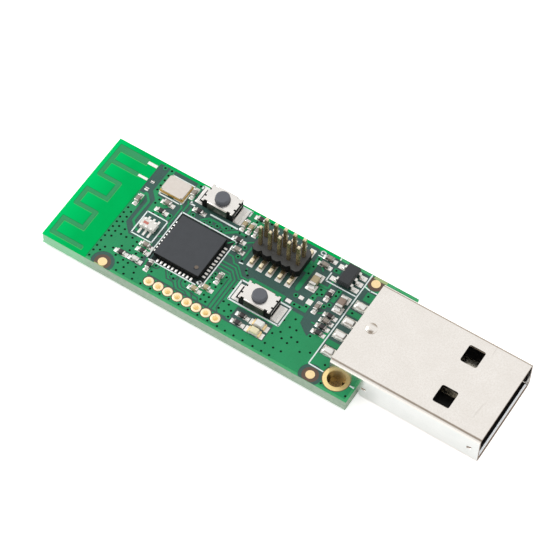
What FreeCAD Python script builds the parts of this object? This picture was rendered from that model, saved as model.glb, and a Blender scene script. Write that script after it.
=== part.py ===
import FreeCAD, Part
import math
import os
import re

import Sketcher
from FreeCAD import Placement, Rotation, Vector

# A bare circuit board with a USB plug: every length is in millimetres.
# Plan positions are measured from the antenna end of the board (x) and from its
# long centre line (y), heights (z) from the board's top face.

doc = FreeCAD.newDocument("usb_radio_stick")
sheet = doc.addObject("Spreadsheet::Sheet", "Sizes")
working = doc.addObject("Spreadsheet::Sheet", "Working")

SIZES = {
    # Board
    "board_width": 16.2,
    "board_thickness": 1.6,
    "board_corner": 0.3,
    "land_thickness": 0.05,
    "antenna_zone": 6.0,
    # Places of the four groups of parts along the board
    "zone_to_chip": 9.65,
    "chip_y": -0.53,
    "chip_offset": -0.08,
    "chip_to_header": 9.35,
    "header_y": 4.25,
    "header_to_regulator": 7.95,
    "regulator_y": 6.05,
    "tail_gap": 0.55,
    "tail_length": 2.35,
    # Printed antenna
    "antenna_edge": 0.6,
    "antenna_reach": 3.2,
    "antenna_open_end": 5.0,
    "trace_width": 0.48,
    "shorting_bar_y": 6.98,
    "shorting_bar_width": 0.86,
    "feed_bar_y": 4.88,
    "first_row_y": 2.58,
    "wide_step": 2.57,
    "narrow_step": 2.28,
    "feed_land_length": 1.3,
    # Fiducial discs
    "fiducial_radius": 0.55,
    "fiducial_near_x": 8.05,
    "fiducial_near_edge": 0.66,
    "fiducial_plug_x": 1.75,
    "fiducial_plug_edge": 0.95,
    # Wire holes
    "wire_hole_count": 8,
    "wire_hole_x": 1.68,
    "wire_hole_pitch": 1.294,
    "wire_hole_edge": 1.35,
    "wire_hole_radius": 0.35,
    "wire_ring": 0.2,
    "lining_wall": 0.06,
    # Plug
    "plug_length": 19.2,
    "plug_width": 12.0,
    "plug_height": 4.5,
    "plug_drop": 1.25,
    "plug_overlap": 3.5,
    "sheet_thickness": 0.3,
    "sheet_bend": 0.55,
    "notch_clearance": 0.4,
    "notch_round": 0.7,
    "leg_from_rear": 1.0,
    "leg_width": 1.5,
    "leg_taper": 0.35,
    "leg_reach": 0.4,
    "leg_hole_radius": 1.1,
    "leg_fill": 0.35,
    "leg_ring": 0.46,
    "window_from_tip": 6.1,
    "window_length": 2.1,
    "window_width": 2.4,
    "window_y": 2.55,
    "boss_from_rear": 1.75,
    "boss_radius": 0.68,
    "boss_rise": 0.24,
    "boss_slope": 0.12,
    "dimple_from_tip": 1.2,
    "dimple_from_notch": 0.55,
    "dimple_length": 0.6,
    "dimple_height": 0.22,
    "dimple_depth": 0.12,
    # Insulator in the plug
    "moulding_clearance": 0.05,
    "moulding_rear": 0.35,
    "mouth_depth": 12.0,
    "tongue_from_tip": 0.95,
    "tongue_thickness": 1.9,
    "tongue_nose": 0.35,
    # Contacts
    "contact_width": 1.0,
    "contact_sheet": 0.25,
    "contact_bend": 0.35,
    "contact_clearance": 0.02,
    "contact_proud": 0.06,
    "inner_contact_y": 1.0,
    "outer_contact_y": 3.5,
    "outer_contact_from_tip": 1.7,
    "inner_contact_from_tip": 2.7,
    "contact_riser": 1.1,
    "tail_land_length": 1.7,
    "tail_land_width": 1.25,
    # Radio chip
    "chip_size": 6.1,
    "chip_body_height": 0.65,
    "chip_land_height": 0.2,
    "chip_land_length": 0.4,
    "chip_land_width": 0.26,
    "chip_land_pitch": 0.51,
    "chip_lands_a_side": 10,
    "chip_heat_pad": 4.4,
    "chip_mark_inset": 0.75,
    "chip_mark_radius": 0.25,
    "chip_mark_depth": 0.05,
    "chip_edge": 0.06,
    "land_toe": 0.52,
    # Crystal
    "crystal_x": -6.0,
    "crystal_y": 5.56,
    "crystal_length": 3.2,
    "crystal_width": 2.5,
    "crystal_base_height": 0.22,
    "crystal_ring_height": 0.08,
    "crystal_ring_inset": 0.03,
    "crystal_lid_inset": 0.07,
    "crystal_lid_height": 0.2,
    "crystal_round": 0.35,
    "crystal_land_length": 1.15,
    "crystal_land_width": 0.95,
    "crystal_land_height": 0.05,
    # Antenna transformer
    "balun_x": -5.8,
    "balun_y": 0.07,
    "balun_length": 2.0,
    "balun_width": 1.25,
    "balun_height": 0.75,
    "balun_pitch": 0.65,
    "balun_terminal_width": 0.3,
    "balun_terminal_sheet": 0.05,
    "balun_land_toe": 0.7,
    # Regulator
    "regulator_length": 2.9,
    "regulator_width": 1.6,
    "regulator_height": 1.0,
    "regulator_rise": 0.1,
    "regulator_draft": 0.12,
    "lead_pitch": 0.95,
    "lead_width": 0.4,
    "lead_sheet": 0.15,
    "lead_foot": 0.45,
    "lead_reach": 0.6,
    "lead_bend": 0.2,
    "lead_land_toe": 0.45,
    "lead_land_margin": 0.12,
    # Push switches
    "switch_1_x": -0.2,
    "switch_1_y": 6.5,
    "switch_2_x": 1.17,
    "switch_2_y": -2.36,
    "switch_length": 4.2,
    "switch_width": 2.7,
    "switch_base_height": 1.32,
    "well_length": 2.75,
    "well_wall": 0.12,
    "well_depth": 0.87,
    "well_round": 0.4,
    "cover_sheet": 0.15,
    "skirt_length": 2.68,
    "skirt_drop": 1.05,
    "skirt_relief": 0.45,
    "relief_depth": 0.25,
    "hook_spacing": 1.06,
    "hook_size": 0.22,
    "button_radius": 0.88,
    "button_height": 2.1,
    "button_gap": 0.05,
    "button_edge": 0.12,
    "flange_length": 2.5,
    "flange_width": 1.5,
    "flange_thickness": 0.2,
    "flange_gap": 0.03,
    "dome_sheet": 0.08,
    "dome_clearance": 0.06,
    "dome_gap": 0.02,
    "terminal_width": 2.1,
    "terminal_reach": 0.7,
    "terminal_sheet": 0.15,
    "terminal_land_toe": 0.35,
    # Pin header
    "pin_pitch": 1.27,
    "pin_columns": 5,
    "pin_width": 0.4,
    "pin_height": 5.4,
    "pin_point": 0.3,
    "pin_foot_reach": 2.65,
    "insulator_width": 3.4,
    "insulator_low": 0.55,
    "insulator_high": 1.75,
    "insulator_notch": 0.35,
    # Lamps
    "led_x": 2.75,
    "led_1_y": -4.85,
    "led_2_y": -5.95,
    "led_length": 1.6,
    "led_width": 0.8,
    "led_base_height": 0.3,
    "led_lens_length": 1.05,
    "led_lens_height": 0.35,
    "led_terminal": 0.22,
    # Small two-ended parts
    "small_length": 1.0,
    "small_width": 0.5,
    "small_height": 0.5,
    "resistor_height": 0.35,
    "small_cap": 0.22,
    "small_land": 0.42,
    "large_length": 1.6,
    "large_width": 0.85,
    "large_height": 0.8,
    "large_cap": 0.35,
    "large_land": 0.5,
    "large_land_margin": 0.2,
    "land_margin": 0.05,
}

WORKED_OUT = {
    "half_width": "board_width / 2",
    "land_z": "land_thickness",
    "chip_x": "antenna_zone + zone_to_chip",
    "header_x": "chip_x + chip_to_header",
    "regulator_x": "header_x + header_to_regulator",
    "power_end": "regulator_x + regulator_width / 2 + lead_reach + lead_land_toe",
    "tail_start": "power_end + tail_gap",
    "plug_start": "tail_start + tail_length",
    "board_length": "plug_start + plug_overlap",
    "overall_length": "plug_start + plug_length",
    "middle_x": "overall_length / 2",
    "top_z": "board_thickness + leg_reach",
    "second_row_y": "first_row_y - wide_step",
    "third_row_y": "second_row_y - narrow_step",
    "fourth_row_y": "third_row_y - wide_step",
    "fifth_row_y": "fourth_row_y - narrow_step",
    "shell_low": "0 - plug_drop",
    "shell_high": "plug_height - plug_drop",
    "leg_x": "plug_start + leg_from_rear",
    "leg_y": "plug_width / 2",
    "notch_end": "plug_overlap + notch_clearance",
    "bore_low": "shell_low + sheet_thickness",
    "bore_high": "shell_high - sheet_thickness",
    "bore_half": "plug_width / 2 - sheet_thickness",
    "tongue_top": "bore_low + moulding_clearance + tongue_thickness",
    "tongue_end": "plug_length - tongue_from_tip",
    "mouth_start": "plug_length - mouth_depth",
    "contact_top": "tongue_top + contact_proud",
    "chip_bottom": "land_z + chip_land_height",
    "switch_low": "land_z",
    "well_floor": "land_z + switch_base_height - well_depth",
    "well_width": "switch_width - cover_sheet * 2 - well_wall * 2",
    "cover_low": "land_z + switch_base_height",
    "flange_top": "cover_low - flange_gap",
    "flange_low": "flange_top - flange_thickness",
    "dome_rise": "flange_low - dome_gap - well_floor",
    "dome_radius": "well_width / 2 - dome_clearance",
    "dome_crown": "dome_radius / 2",
    "header_half": "pin_pitch * pin_columns / 2",
}


def write_sheet():
    """Driving sizes as plain numbers, then the sizes that follow from them."""
    row = 1
    for alias, amount in SIZES.items():
        sheet.set("A%d" % row, alias.replace("_", " "))
        sheet.set("B%d" % row, str(amount))
        sheet.setAlias("B%d" % row, alias)
        row += 1
    for alias, rule in WORKED_OUT.items():
        sheet.set("A%d" % row, alias.replace("_", " "))
        sheet.set("B%d" % row, "=" + rule)
        sheet.setAlias("B%d" % row, alias)
        row += 1
    doc.recompute()


def with_sheet(rule):
    """The rule with each name led by the sheet that holds it."""
    return re.sub(r"[a-z][a-z_0-9]*", r"Sizes.\g<0>", rule)


def number(rule):
    """Present value of a rule, worked out in a sheet of its own."""
    working.set("A1", "=" + with_sheet(rule))
    working.recompute()
    return float(working.get("A1"))


def bind(item, name, rule):
    """Ties a property to a rule written with the sheet's names."""
    item.setExpression(name, with_sheet(rule))


def put(item, x="0", y="0", z="0"):
    """Places an object given in board measures into the part's own frame."""
    bind(item, "Placement.Base.x", "(%s) - middle_x" % x)
    bind(item, "Placement.Base.y", y)
    bind(item, "Placement.Base.z", "(%s) + top_z" % z)


def new_body(label, x="0", y="0", z="0"):
    made = doc.addObject("PartDesign::Body", label)
    put(made, x, y, z)
    return made


def new_sketch(owner, name, role, offset="0"):
    """Sketch on one of the body's own origin planes, raised by an offset."""
    made = owner.newObject("Sketcher::SketchObject", name)
    plane = [item for item in owner.Origin.OriginFeatures if item.Role == role][0]
    made.AttachmentSupport = (plane, [""])
    made.MapMode = "FlatFace"
    bind(made, "AttachmentOffset.Base.z", offset)
    return made


def hold(sketch, geometry, end, x, y):
    """Fixes one point of the sketch at a place given by two rules."""
    for kind, rule, axis in (("DistanceX", x, -2), ("DistanceY", y, -1)):
        if rule == "0":
            sketch.addConstraint(Sketcher.Constraint("PointOnObject", geometry, end, axis))
        else:
            made = sketch.addConstraint(Sketcher.Constraint(kind, geometry, end, number(rule)))
            bind(sketch, "Constraints[%d]" % made, rule)


def corner_arc(before, corner, after, radius):
    """Arc that rounds a corner, with its two tangent points."""
    incoming = (corner - before).normalize()
    outgoing = (after - corner).normalize()
    turn = incoming.getAngle(outgoing)
    back = radius * math.tan(turn / 2)
    start = corner - incoming * back
    end = corner + outgoing * back
    inward = (outgoing - incoming).normalize()
    centre = corner + inward * (radius / math.cos(turn / 2))
    return Part.Arc(start, centre - inward * radius, end), start, end


def outline(sketch, corners):
    """Closed outline through (x, y) corners; (x, y, radius) rounds that corner."""
    count = len(corners)
    spots = [Vector(number(item[0]), number(item[1]), 0) for item in corners]
    arcs = {}
    for here, item in enumerate(corners):
        if len(item) == 3:
            neighbours = (spots[here - 1], spots[here], spots[(here + 1) % count])
            arcs[here] = corner_arc(*neighbours, number(item[2]))
    lines = []
    for here in range(count):
        after = (here + 1) % count
        start = arcs[here][2] if here in arcs else spots[here]
        end = arcs[after][1] if after in arcs else spots[after]
        lines.append(sketch.addGeometry(Part.LineSegment(start, end), False))
    for here, item in enumerate(corners):
        before = lines[here - 1]
        after = lines[here]
        if here not in arcs:
            sketch.addConstraint(Sketcher.Constraint("Coincident", before, 2, after, 1))
            hold(sketch, after, 1, item[0], item[1])
            continue
        curve, start, end = arcs[here]
        bend = sketch.addGeometry(curve, False)
        point = sketch.addGeometry(Part.Point(spots[here]), True)
        first = 1
        if (sketch.getPoint(bend, 1) - start).Length > (sketch.getPoint(bend, 1) - end).Length:
            first = 2
        sketch.addConstraint(Sketcher.Constraint("Tangent", before, 2, bend, first))
        sketch.addConstraint(Sketcher.Constraint("Tangent", bend, 3 - first, after, 1))
        sketch.addConstraint(Sketcher.Constraint("PointOnObject", point, 1, before))
        sketch.addConstraint(Sketcher.Constraint("PointOnObject", point, 1, after))
        hold(sketch, point, 1, item[0], item[1])
        made = sketch.addConstraint(Sketcher.Constraint("Radius", bend, number(item[2])))
        bind(sketch, "Constraints[%d]" % made, item[2])


def rectangle(sketch, left, right, low, high, radius=None):
    corners = [(left, low), (right, low), (right, high), (left, high)]
    if radius:
        corners = [corner + (radius,) for corner in corners]
    outline(sketch, corners)


def circle(sketch, x, y, radius):
    ring = Part.Circle(Vector(number(x), number(y), 0), Vector(0, 0, 1), number(radius))
    made = sketch.addGeometry(ring, False)
    hold(sketch, made, 3, x, y)
    size = sketch.addConstraint(Sketcher.Constraint("Radius", made, number(radius)))
    bind(sketch, "Constraints[%d]" % size, radius)


def pad(owner, name, sketch, length, side="One side", reversed_way=False):
    made = owner.newObject("PartDesign::Pad", name)
    made.Profile = sketch
    made.SideType = side
    made.Reversed = reversed_way
    bind(made, "Length", length)
    doc.recompute()
    return made


def pocket(owner, name, sketch, length=None, side="One side", reversed_way=False):
    """Cut by a length, or right through both ways where none is given."""
    made = owner.newObject("PartDesign::Pocket", name)
    made.Profile = sketch
    if length is None:
        made.SideType = "Symmetric"
        made.Type = "ThroughAll"
    else:
        made.SideType = side
        made.Reversed = reversed_way
        bind(made, "Length", length)
    doc.recompute()
    return made


def revolve(owner, name, sketch, cut=False):
    made = owner.newObject("PartDesign::Groove" if cut else "PartDesign::Revolution", name)
    made.Profile = sketch
    made.ReferenceAxis = (sketch, ["V_Axis"])
    made.Angle = 360
    doc.recompute()
    return made


def pattern(owner, name, features, role, length, count):
    """Repeats features along one of the body's axes over a length."""
    made = owner.newObject("PartDesign::LinearPattern", name)
    made.Originals = features
    axis = [item for item in owner.Origin.OriginFeatures if item.Role == role][0]
    made.Direction = (axis, [""])
    bind(made, "Length", length)
    bind(made, "Occurrences", count)
    owner.Tip = made
    doc.recompute()
    return made


def mirror(owner, name, features, role):
    made = owner.newObject("PartDesign::Mirrored", name)
    made.Originals = features
    plane = [item for item in owner.Origin.OriginFeatures if item.Role == role][0]
    made.MirrorPlane = (plane, [""])
    owner.Tip = made
    doc.recompute()
    return made


def edge_name(feature, level):
    """Name of the first edge that lies at a height above the feature's own plane."""
    low = min(edge.BoundBox.ZMin for edge in feature.Shape.Edges)
    for index, edge in enumerate(feature.Shape.Edges):
        if abs(edge.BoundBox.ZMin - low - number(level)) < 1e-4:
            return "Edge%d" % (index + 1)
    raise RuntimeError("no edge at the height %s" % level)


def block(x, y, low, length, width, height):
    """Block standing on a height, centred on a place in plan."""
    made = doc.addObject("Part::Box", "block")
    bind(made, "Length", length)
    bind(made, "Width", width)
    bind(made, "Height", height)
    put(made, "(%s) - (%s) / 2" % (x, length), "(%s) - (%s) / 2" % (y, width), low)
    return made


def disc(x, y, low, radius, height):
    made = doc.addObject("Part::Cylinder", "disc")
    bind(made, "Radius", radius)
    bind(made, "Height", height)
    put(made, x, y, low)
    return made


def group(label, items):
    """Separate solids that share one name."""
    made = doc.addObject("Part::Compound", label)
    made.Links = items
    return made


lands = []


def land(x, y, length, width):
    """Tinned copper land printed on the board."""
    lands.append(block(x, y, "0", length, width, "land_thickness"))


# Board and what is plated on it


def circuit_board():
    board = new_body("circuit_board")
    plan = new_sketch(board, "board_plan", "XY_Plane")
    rectangle(plan, "0", "board_length", "0 - half_width", "half_width", "board_corner")
    pad(board, "laminate", plan, "board_thickness", reversed_way=True)
    drill = new_sketch(board, "wire_hole_plan", "XY_Plane")
    wire_radius = "wire_hole_radius + lining_wall"
    circle(drill, "chip_x - wire_hole_x", "wire_hole_edge - half_width", wire_radius)
    hole = pocket(board, "wire_hole", drill)
    span = "wire_hole_pitch * (wire_hole_count - 1)"
    pattern(board, "wire_hole_row", [hole], "X_Axis", span, "wire_hole_count")
    legs = new_sketch(board, "leg_hole_plan", "XY_Plane")
    for side in ("leg_y", "0 - leg_y"):
        circle(legs, "leg_x", side, "leg_hole_radius + lining_wall")
    board.Tip = pocket(board, "leg_holes", legs)


def plated_barrel(owner, bore, ring):
    """Plated wall of a hole, with a ring on the top face that thins to its edge."""
    section = new_sketch(owner, "barrel_section", "XZ_Plane")
    outer = "%s + lining_wall" % bore
    edge = "%s + lining_wall + %s" % (bore, ring)
    outline(section, [
        (bore, "0 - board_thickness - land_thickness"),
        (outer, "0 - board_thickness"),
        (outer, "0"),
        (edge, "0"),
        (bore, "land_thickness"),
    ])
    return revolve(owner, "barrel", section)


def hole_linings():
    wires = new_body("io_hole_linings", "chip_x - wire_hole_x", "wire_hole_edge - half_width")
    barrel = plated_barrel(wires, "wire_hole_radius", "wire_ring")
    span = "wire_hole_pitch * (wire_hole_count - 1)"
    pattern(wires, "lining_row", [barrel], "X_Axis", span, "wire_hole_count")
    legs = new_body("shell_hole_linings", "leg_x", "0 - leg_y")
    barrel = plated_barrel(legs, "leg_hole_radius", "leg_ring")
    pattern(legs, "lining_pair", [barrel], "Y_Axis", "leg_y * 2", "2")


def antenna_trace():
    """Meander of copper runs, from the two feed bars down to the open end."""
    left = "antenna_edge"
    right = "antenna_edge + antenna_reach"
    half = "trace_width / 2"
    bar_end = "antenna_zone - feed_land_length"
    inside_left = "antenna_edge + trace_width"
    inside_right = "antenna_edge + antenna_reach - trace_width"
    bar_top = "shorting_bar_y + shorting_bar_width / 2"
    rows = [
        (bar_end, "shorting_bar_y - shorting_bar_width / 2", bar_top),
        (bar_end, "feed_bar_y - %s" % half, "feed_bar_y + %s" % half),
        (right, "first_row_y - %s" % half, "first_row_y + %s" % half),
        (right, "second_row_y - %s" % half, "second_row_y + %s" % half),
        (right, "third_row_y - %s" % half, "third_row_y + %s" % half),
        (right, "fourth_row_y - %s" % half, "fourth_row_y + %s" % half),
        ("antenna_open_end", "fifth_row_y - %s" % half, "fifth_row_y + %s" % half),
    ]
    links = [
        (left, inside_left, "first_row_y - %s" % half, bar_top),
        (inside_right, right, "second_row_y - %s" % half, "first_row_y + %s" % half),
        (left, inside_left, "third_row_y - %s" % half, "second_row_y + %s" % half),
        (inside_right, right, "fourth_row_y - %s" % half, "third_row_y + %s" % half),
        (left, inside_left, "fifth_row_y - %s" % half, "fourth_row_y + %s" % half),
    ]
    runs = [(left, end, low, high) for end, low, high in rows] + links
    pieces = []
    for start, end, low, high in runs:
        piece = doc.addObject("Part::Box", "antenna_run")
        bind(piece, "Length", "(%s) - (%s)" % (end, start))
        bind(piece, "Width", "(%s) - (%s)" % (high, low))
        bind(piece, "Height", "land_thickness")
        put(piece, start, low)
        pieces.append(piece)
    trace = doc.addObject("Part::MultiFuse", "antenna_trace")
    trace.Shapes = pieces
    trace.Refine = True


def fiducials():
    near = disc("fiducial_near_x", "fiducial_near_edge - half_width", "0",
                "fiducial_radius", "land_thickness")
    plug_near = disc("plug_start - fiducial_plug_x", "fiducial_plug_edge - half_width", "0",
                     "fiducial_radius", "land_thickness")
    plug_far = disc("plug_start - fiducial_plug_x", "half_width - fiducial_plug_edge", "0",
                    "fiducial_radius", "land_thickness")
    group("fiducial_marks", [near, plug_near, plug_far])


# Plug


def plug_shell():
    """Folded sleeve: cut away over the board, with windows, a boss, dimples and legs."""
    shell = new_body("plug_shell", "plug_start")
    half = "plug_width / 2"
    ring = new_sketch(shell, "sleeve_section", "YZ_Plane")
    rectangle(ring, "0 - plug_width / 2", half, "shell_low", "shell_high", "sheet_bend")
    rectangle(ring, "0 - bore_half", "bore_half", "bore_low", "bore_high",
              "sheet_bend - sheet_thickness")
    pad(shell, "sleeve", ring, "plug_length")
    notch = new_sketch(shell, "notch_side", "XZ_Plane")
    outline(notch, [
        ("0 - plug_height", "land_z"),
        ("0 - plug_height", "shell_low - plug_height"),
        ("notch_end + notch_round + plug_height", "shell_low - plug_height"),
        ("notch_end + notch_round + plug_height", "shell_low - notch_round"),
        ("notch_end + notch_round", "shell_low - notch_round"),
        ("notch_end + notch_round", "shell_low"),
        ("notch_end", "shell_low + notch_round"),
        ("notch_end", "land_z"),
    ])
    pocket(shell, "board_notch", notch)
    windows = new_sketch(shell, "window_plan", "XY_Plane")
    for side in ("window_y", "0 - window_y"):
        start = "plug_length - window_from_tip - window_length / 2"
        end = "plug_length - window_from_tip + window_length / 2"
        low = "%s - window_width / 2" % side
        high = "%s + window_width / 2" % side
        rectangle(windows, start, end, low, high)
    pocket(shell, "windows", windows)
    mark = new_sketch(shell, "boss_plan", "XY_Plane", "shell_high - sheet_thickness / 2")
    circle(mark, "boss_from_rear", "0", "boss_radius")
    boss = pad(shell, "boss", mark, "sheet_thickness / 2 + boss_rise")
    slope = shell.newObject("PartDesign::Chamfer", "boss_edge")
    slope.Base = (boss, [edge_name(boss, "plug_height + boss_rise")])
    bind(slope, "Size", "boss_slope")
    doc.recompute()
    dimples = new_sketch(shell, "dimple_side", "XZ_Plane", "plug_width / 2 - dimple_depth")
    middle = "(shell_low + shell_high) / 2"
    for place in ("notch_end + dimple_from_notch", "plug_length - dimple_from_tip"):
        rectangle(dimples, "%s - dimple_length / 2" % place, "%s + dimple_length / 2" % place,
                  "%s - dimple_height / 2" % middle, "%s + dimple_height / 2" % middle)
    cut = pocket(shell, "dimples", dimples, "dimple_depth * 2", reversed_way=True)
    mirror(shell, "dimples_both_sides", [cut], "XZ_Plane")
    leg = new_sketch(shell, "leg_side", "XZ_Plane", "plug_width / 2 - sheet_thickness")
    tip = "0 - board_thickness - leg_reach"
    outline(leg, [
        ("leg_from_rear - leg_width / 2", "sheet_bend"),
        ("leg_from_rear - leg_width / 2", "%s + leg_taper" % tip),
        ("leg_from_rear - leg_width / 2 + leg_taper", tip),
        ("leg_from_rear + leg_width / 2 - leg_taper", tip),
        ("leg_from_rear + leg_width / 2", "%s + leg_taper" % tip),
        ("leg_from_rear + leg_width / 2", "sheet_bend"),
    ])
    made = pad(shell, "leg", leg, "sheet_thickness")
    mirror(shell, "legs", [made], "XZ_Plane")


CONTACTS = (
    ("plug_contact_1", "outer_contact_y", "outer_contact_from_tip"),
    ("plug_contact_2", "inner_contact_y", "inner_contact_from_tip"),
    ("plug_contact_3", "0 - inner_contact_y", "inner_contact_from_tip"),
    ("plug_contact_4", "0 - outer_contact_y", "outer_contact_from_tip"),
)


def contact_side(sketch, from_tip, spare, bend=()):
    """Side view of a contact strip: tail, riser, long spring run and dipped nose."""
    low = "land_z - %s" % spare
    foot = "land_z + contact_sheet + %s" % spare
    back = "contact_riser - %s" % spare
    front = "contact_riser + contact_sheet + %s" % spare
    top = "contact_top"
    under = "contact_top - contact_sheet - %s" % spare
    end = "plug_length - %s + %s" % (from_tip, spare)
    nose = "plug_length - %s - contact_sheet * 3" % from_tip
    sink = "tongue_top - contact_sheet - %s - contact_proud" % spare
    outline(sketch, [
        ("0 - tail_length", low),
        (front, low) + bend,
        (front, under),
        (nose, under),
        (end, sink),
        (end, "tongue_top - contact_proud"),
        (nose, top),
        (back, top) + bend,
        (back, foot),
        ("0 - tail_length", foot),
    ])


def plug_contacts():
    for name, y, from_tip in CONTACTS:
        contact = new_body(name, "plug_start", y)
        side = new_sketch(contact, "strip_side", "XZ_Plane")
        contact_side(side, from_tip, "0", ("contact_bend",))
        pad(contact, "strip", side, "contact_width", "Symmetric")
        land("tail_start + tail_land_length / 2 - land_margin", y,
             "tail_land_length", "tail_land_width")


def plug_insulator():
    """Black moulding: a block behind the mouth and the tongue that backs the contacts."""
    moulding = new_body("plug_insulator", "plug_start")
    section = new_sketch(moulding, "moulding_section", "YZ_Plane", "moulding_rear")
    half = "bore_half - moulding_clearance"
    floor = "bore_low + moulding_clearance"
    ceiling = "bore_high - moulding_clearance"
    rectangle(section, "moulding_clearance - bore_half", half, floor, ceiling,
              "sheet_bend - sheet_thickness")
    pad(moulding, "moulding", section, "tongue_end - moulding_rear")
    seat = new_sketch(moulding, "board_seat", "XZ_Plane")
    rectangle(seat, "0 - plug_length", "notch_end + moulding_clearance",
              "shell_low - plug_height", "land_z + moulding_clearance")
    pocket(moulding, "seat", seat)
    mouth = new_sketch(moulding, "mouth_side", "XZ_Plane")
    outline(mouth, [
        ("mouth_start", "tongue_top"),
        ("tongue_end - tongue_nose", "tongue_top"),
        ("tongue_end", "tongue_top - tongue_nose"),
        ("tongue_end + plug_length", "tongue_top - tongue_nose"),
        ("tongue_end + plug_length", "shell_high + plug_height"),
        ("mouth_start", "shell_high + plug_height"),
    ])
    pocket(moulding, "mouth", mouth)
    for name, y, from_tip in CONTACTS:
        channel = new_sketch(moulding, "channel_" + name[-1], "XZ_Plane", "0 - (%s)" % y)
        contact_side(channel, from_tip, "contact_clearance")
        width = "contact_width + contact_clearance * 2"
        moulding.Tip = pocket(moulding, "channel_cut_" + name[-1], channel, width, "Symmetric")


def plug_solder():
    """Solder wedges over the four tails, and the fill of the two leg holes."""
    joints = []
    for name, y, from_tip in CONTACTS:
        wedge = doc.addObject("Part::Wedge", "solder_wedge")
        lean = "contact_sheet"
        bind(wedge, "Xmin", "0")
        bind(wedge, "Xmax", "tail_land_length - land_margin * 3")
        bind(wedge, "Ymin", "0")
        bind(wedge, "Ymax", "contact_sheet * 1.6")
        bind(wedge, "Zmin", "0")
        bind(wedge, "Zmax", "tail_land_width - land_margin * 2")
        bind(wedge, "X2min", lean)
        bind(wedge, "X2max", "tail_land_length - land_margin * 3 - %s" % lean)
        bind(wedge, "Z2min", lean)
        bind(wedge, "Z2max", "tail_land_width - land_margin * 2 - %s" % lean)
        wedge.Placement = Placement(Vector(), Rotation(Vector(1, 0, 0), 90))
        side = "(%s) + tail_land_width / 2 - land_margin" % y
        put(wedge, "tail_start", side, "land_z")
        tail = block("tail_start + plug_length / 2", y, "land_z",
                     "plug_length", "contact_width", "contact_sheet")
        joint = doc.addObject("Part::Cut", "solder_joint")
        joint.Base = wedge
        joint.Tool = tail
        joints.append(joint)
    group("plug_solder_joints", joints)
    fills = []
    for side, inward in (("leg_y", "leg_y - sheet_thickness / 2"),
                         ("0 - leg_y", "sheet_thickness / 2 - leg_y")):
        fill = disc("leg_x", side, "0 - board_thickness - land_thickness",
                    "leg_hole_radius", "leg_fill")
        cap = doc.addObject("Part::Cone", "solder_cap")
        bind(cap, "Radius1", "leg_width / 2")
        bind(cap, "Radius2", "leg_hole_radius")
        bind(cap, "Height", "leg_reach - land_thickness * 2")
        put(cap, "leg_x", side, "land_thickness - board_thickness - leg_reach")
        both = doc.addObject("Part::Fuse", "solder_fill")
        both.Base = fill
        both.Tool = cap
        leg = block("leg_x", inward, "0 - board_thickness - leg_reach",
                    "leg_width", "sheet_thickness", "board_thickness + leg_reach")
        cut = doc.addObject("Part::Cut", "leg_joint")
        cut.Base = both
        cut.Tool = leg
        fills.append(cut)
    group("leg_solder", fills)


# Radio chip and its neighbours


def radio_chip():
    half = "chip_size / 2"
    middle = "chip_x + chip_offset"
    body = new_body("radio_chip_body", middle, "chip_y", "chip_bottom")
    plan = new_sketch(body, "chip_plan", "XY_Plane")
    rectangle(plan, "0 - chip_size / 2", half, "0 - chip_size / 2", half)
    moulded = pad(body, "moulding", plan, "chip_body_height")
    edges = []
    for place, edge in enumerate(moulded.Shape.Edges):
        level = edge.BoundBox
        if level.ZMin > number("chip_body_height") - 0.01:
            edges.append("Edge%d" % (place + 1))
    rim = body.newObject("PartDesign::Chamfer", "moulding_edge")
    rim.Base = (moulded, edges)
    bind(rim, "Size", "chip_edge")
    doc.recompute()
    mark = new_sketch(body, "mark_plan", "XY_Plane", "chip_body_height - chip_mark_depth")
    circle(mark, "%s - chip_mark_inset" % half, "chip_mark_inset - chip_size / 2",
           "chip_mark_radius")
    body.Tip = pocket(body, "mark", mark, "chip_mark_depth * 2", reversed_way=True)
    terminals = []
    inner = "chip_size / 2 - chip_land_length / 2"
    pad_centre = "chip_size / 2 - chip_land_length / 2 + land_toe / 2"
    pad_length = "chip_land_length + land_toe"
    for place in range(int(SIZES["chip_lands_a_side"])):
        along = "chip_land_pitch * (%d - (chip_lands_a_side - 1) / 2)" % place
        for sign in ("", "0 - "):
            x_end = "%s + (%s(%s))" % (middle, sign, inner)
            y_end = "chip_y + (%s(%s))" % (sign, inner)
            terminals.append(block(x_end, "chip_y + %s" % along, "land_z",
                                   "chip_land_length", "chip_land_width", "chip_land_height"))
            terminals.append(block("%s + %s" % (middle, along), y_end, "land_z",
                                   "chip_land_width", "chip_land_length", "chip_land_height"))
            land("%s + (%s(%s))" % (middle, sign, pad_centre), "chip_y + %s" % along,
                 pad_length, "chip_land_width")
            land("%s + %s" % (middle, along), "chip_y + (%s(%s))" % (sign, pad_centre),
                 "chip_land_width", pad_length)
    group("radio_chip_lands", terminals)
    pad_piece = block(middle, "chip_y", "land_z",
                      "chip_heat_pad", "chip_heat_pad", "chip_land_height")
    group("radio_chip_heat_pad", [pad_piece])
    land(middle, "chip_y", "chip_heat_pad", "chip_heat_pad")


def rounded_plate(label, x, y, low, length, width, height, radius):
    plate = new_body(label, x, y, low)
    plan = new_sketch(plate, "plate_plan", "XY_Plane")
    rectangle(plan, "0 - (%s) / 2" % length, "(%s) / 2" % length,
              "0 - (%s) / 2" % width, "(%s) / 2" % width, radius)
    pad(plate, "plate", plan, height)
    return plate


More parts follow.
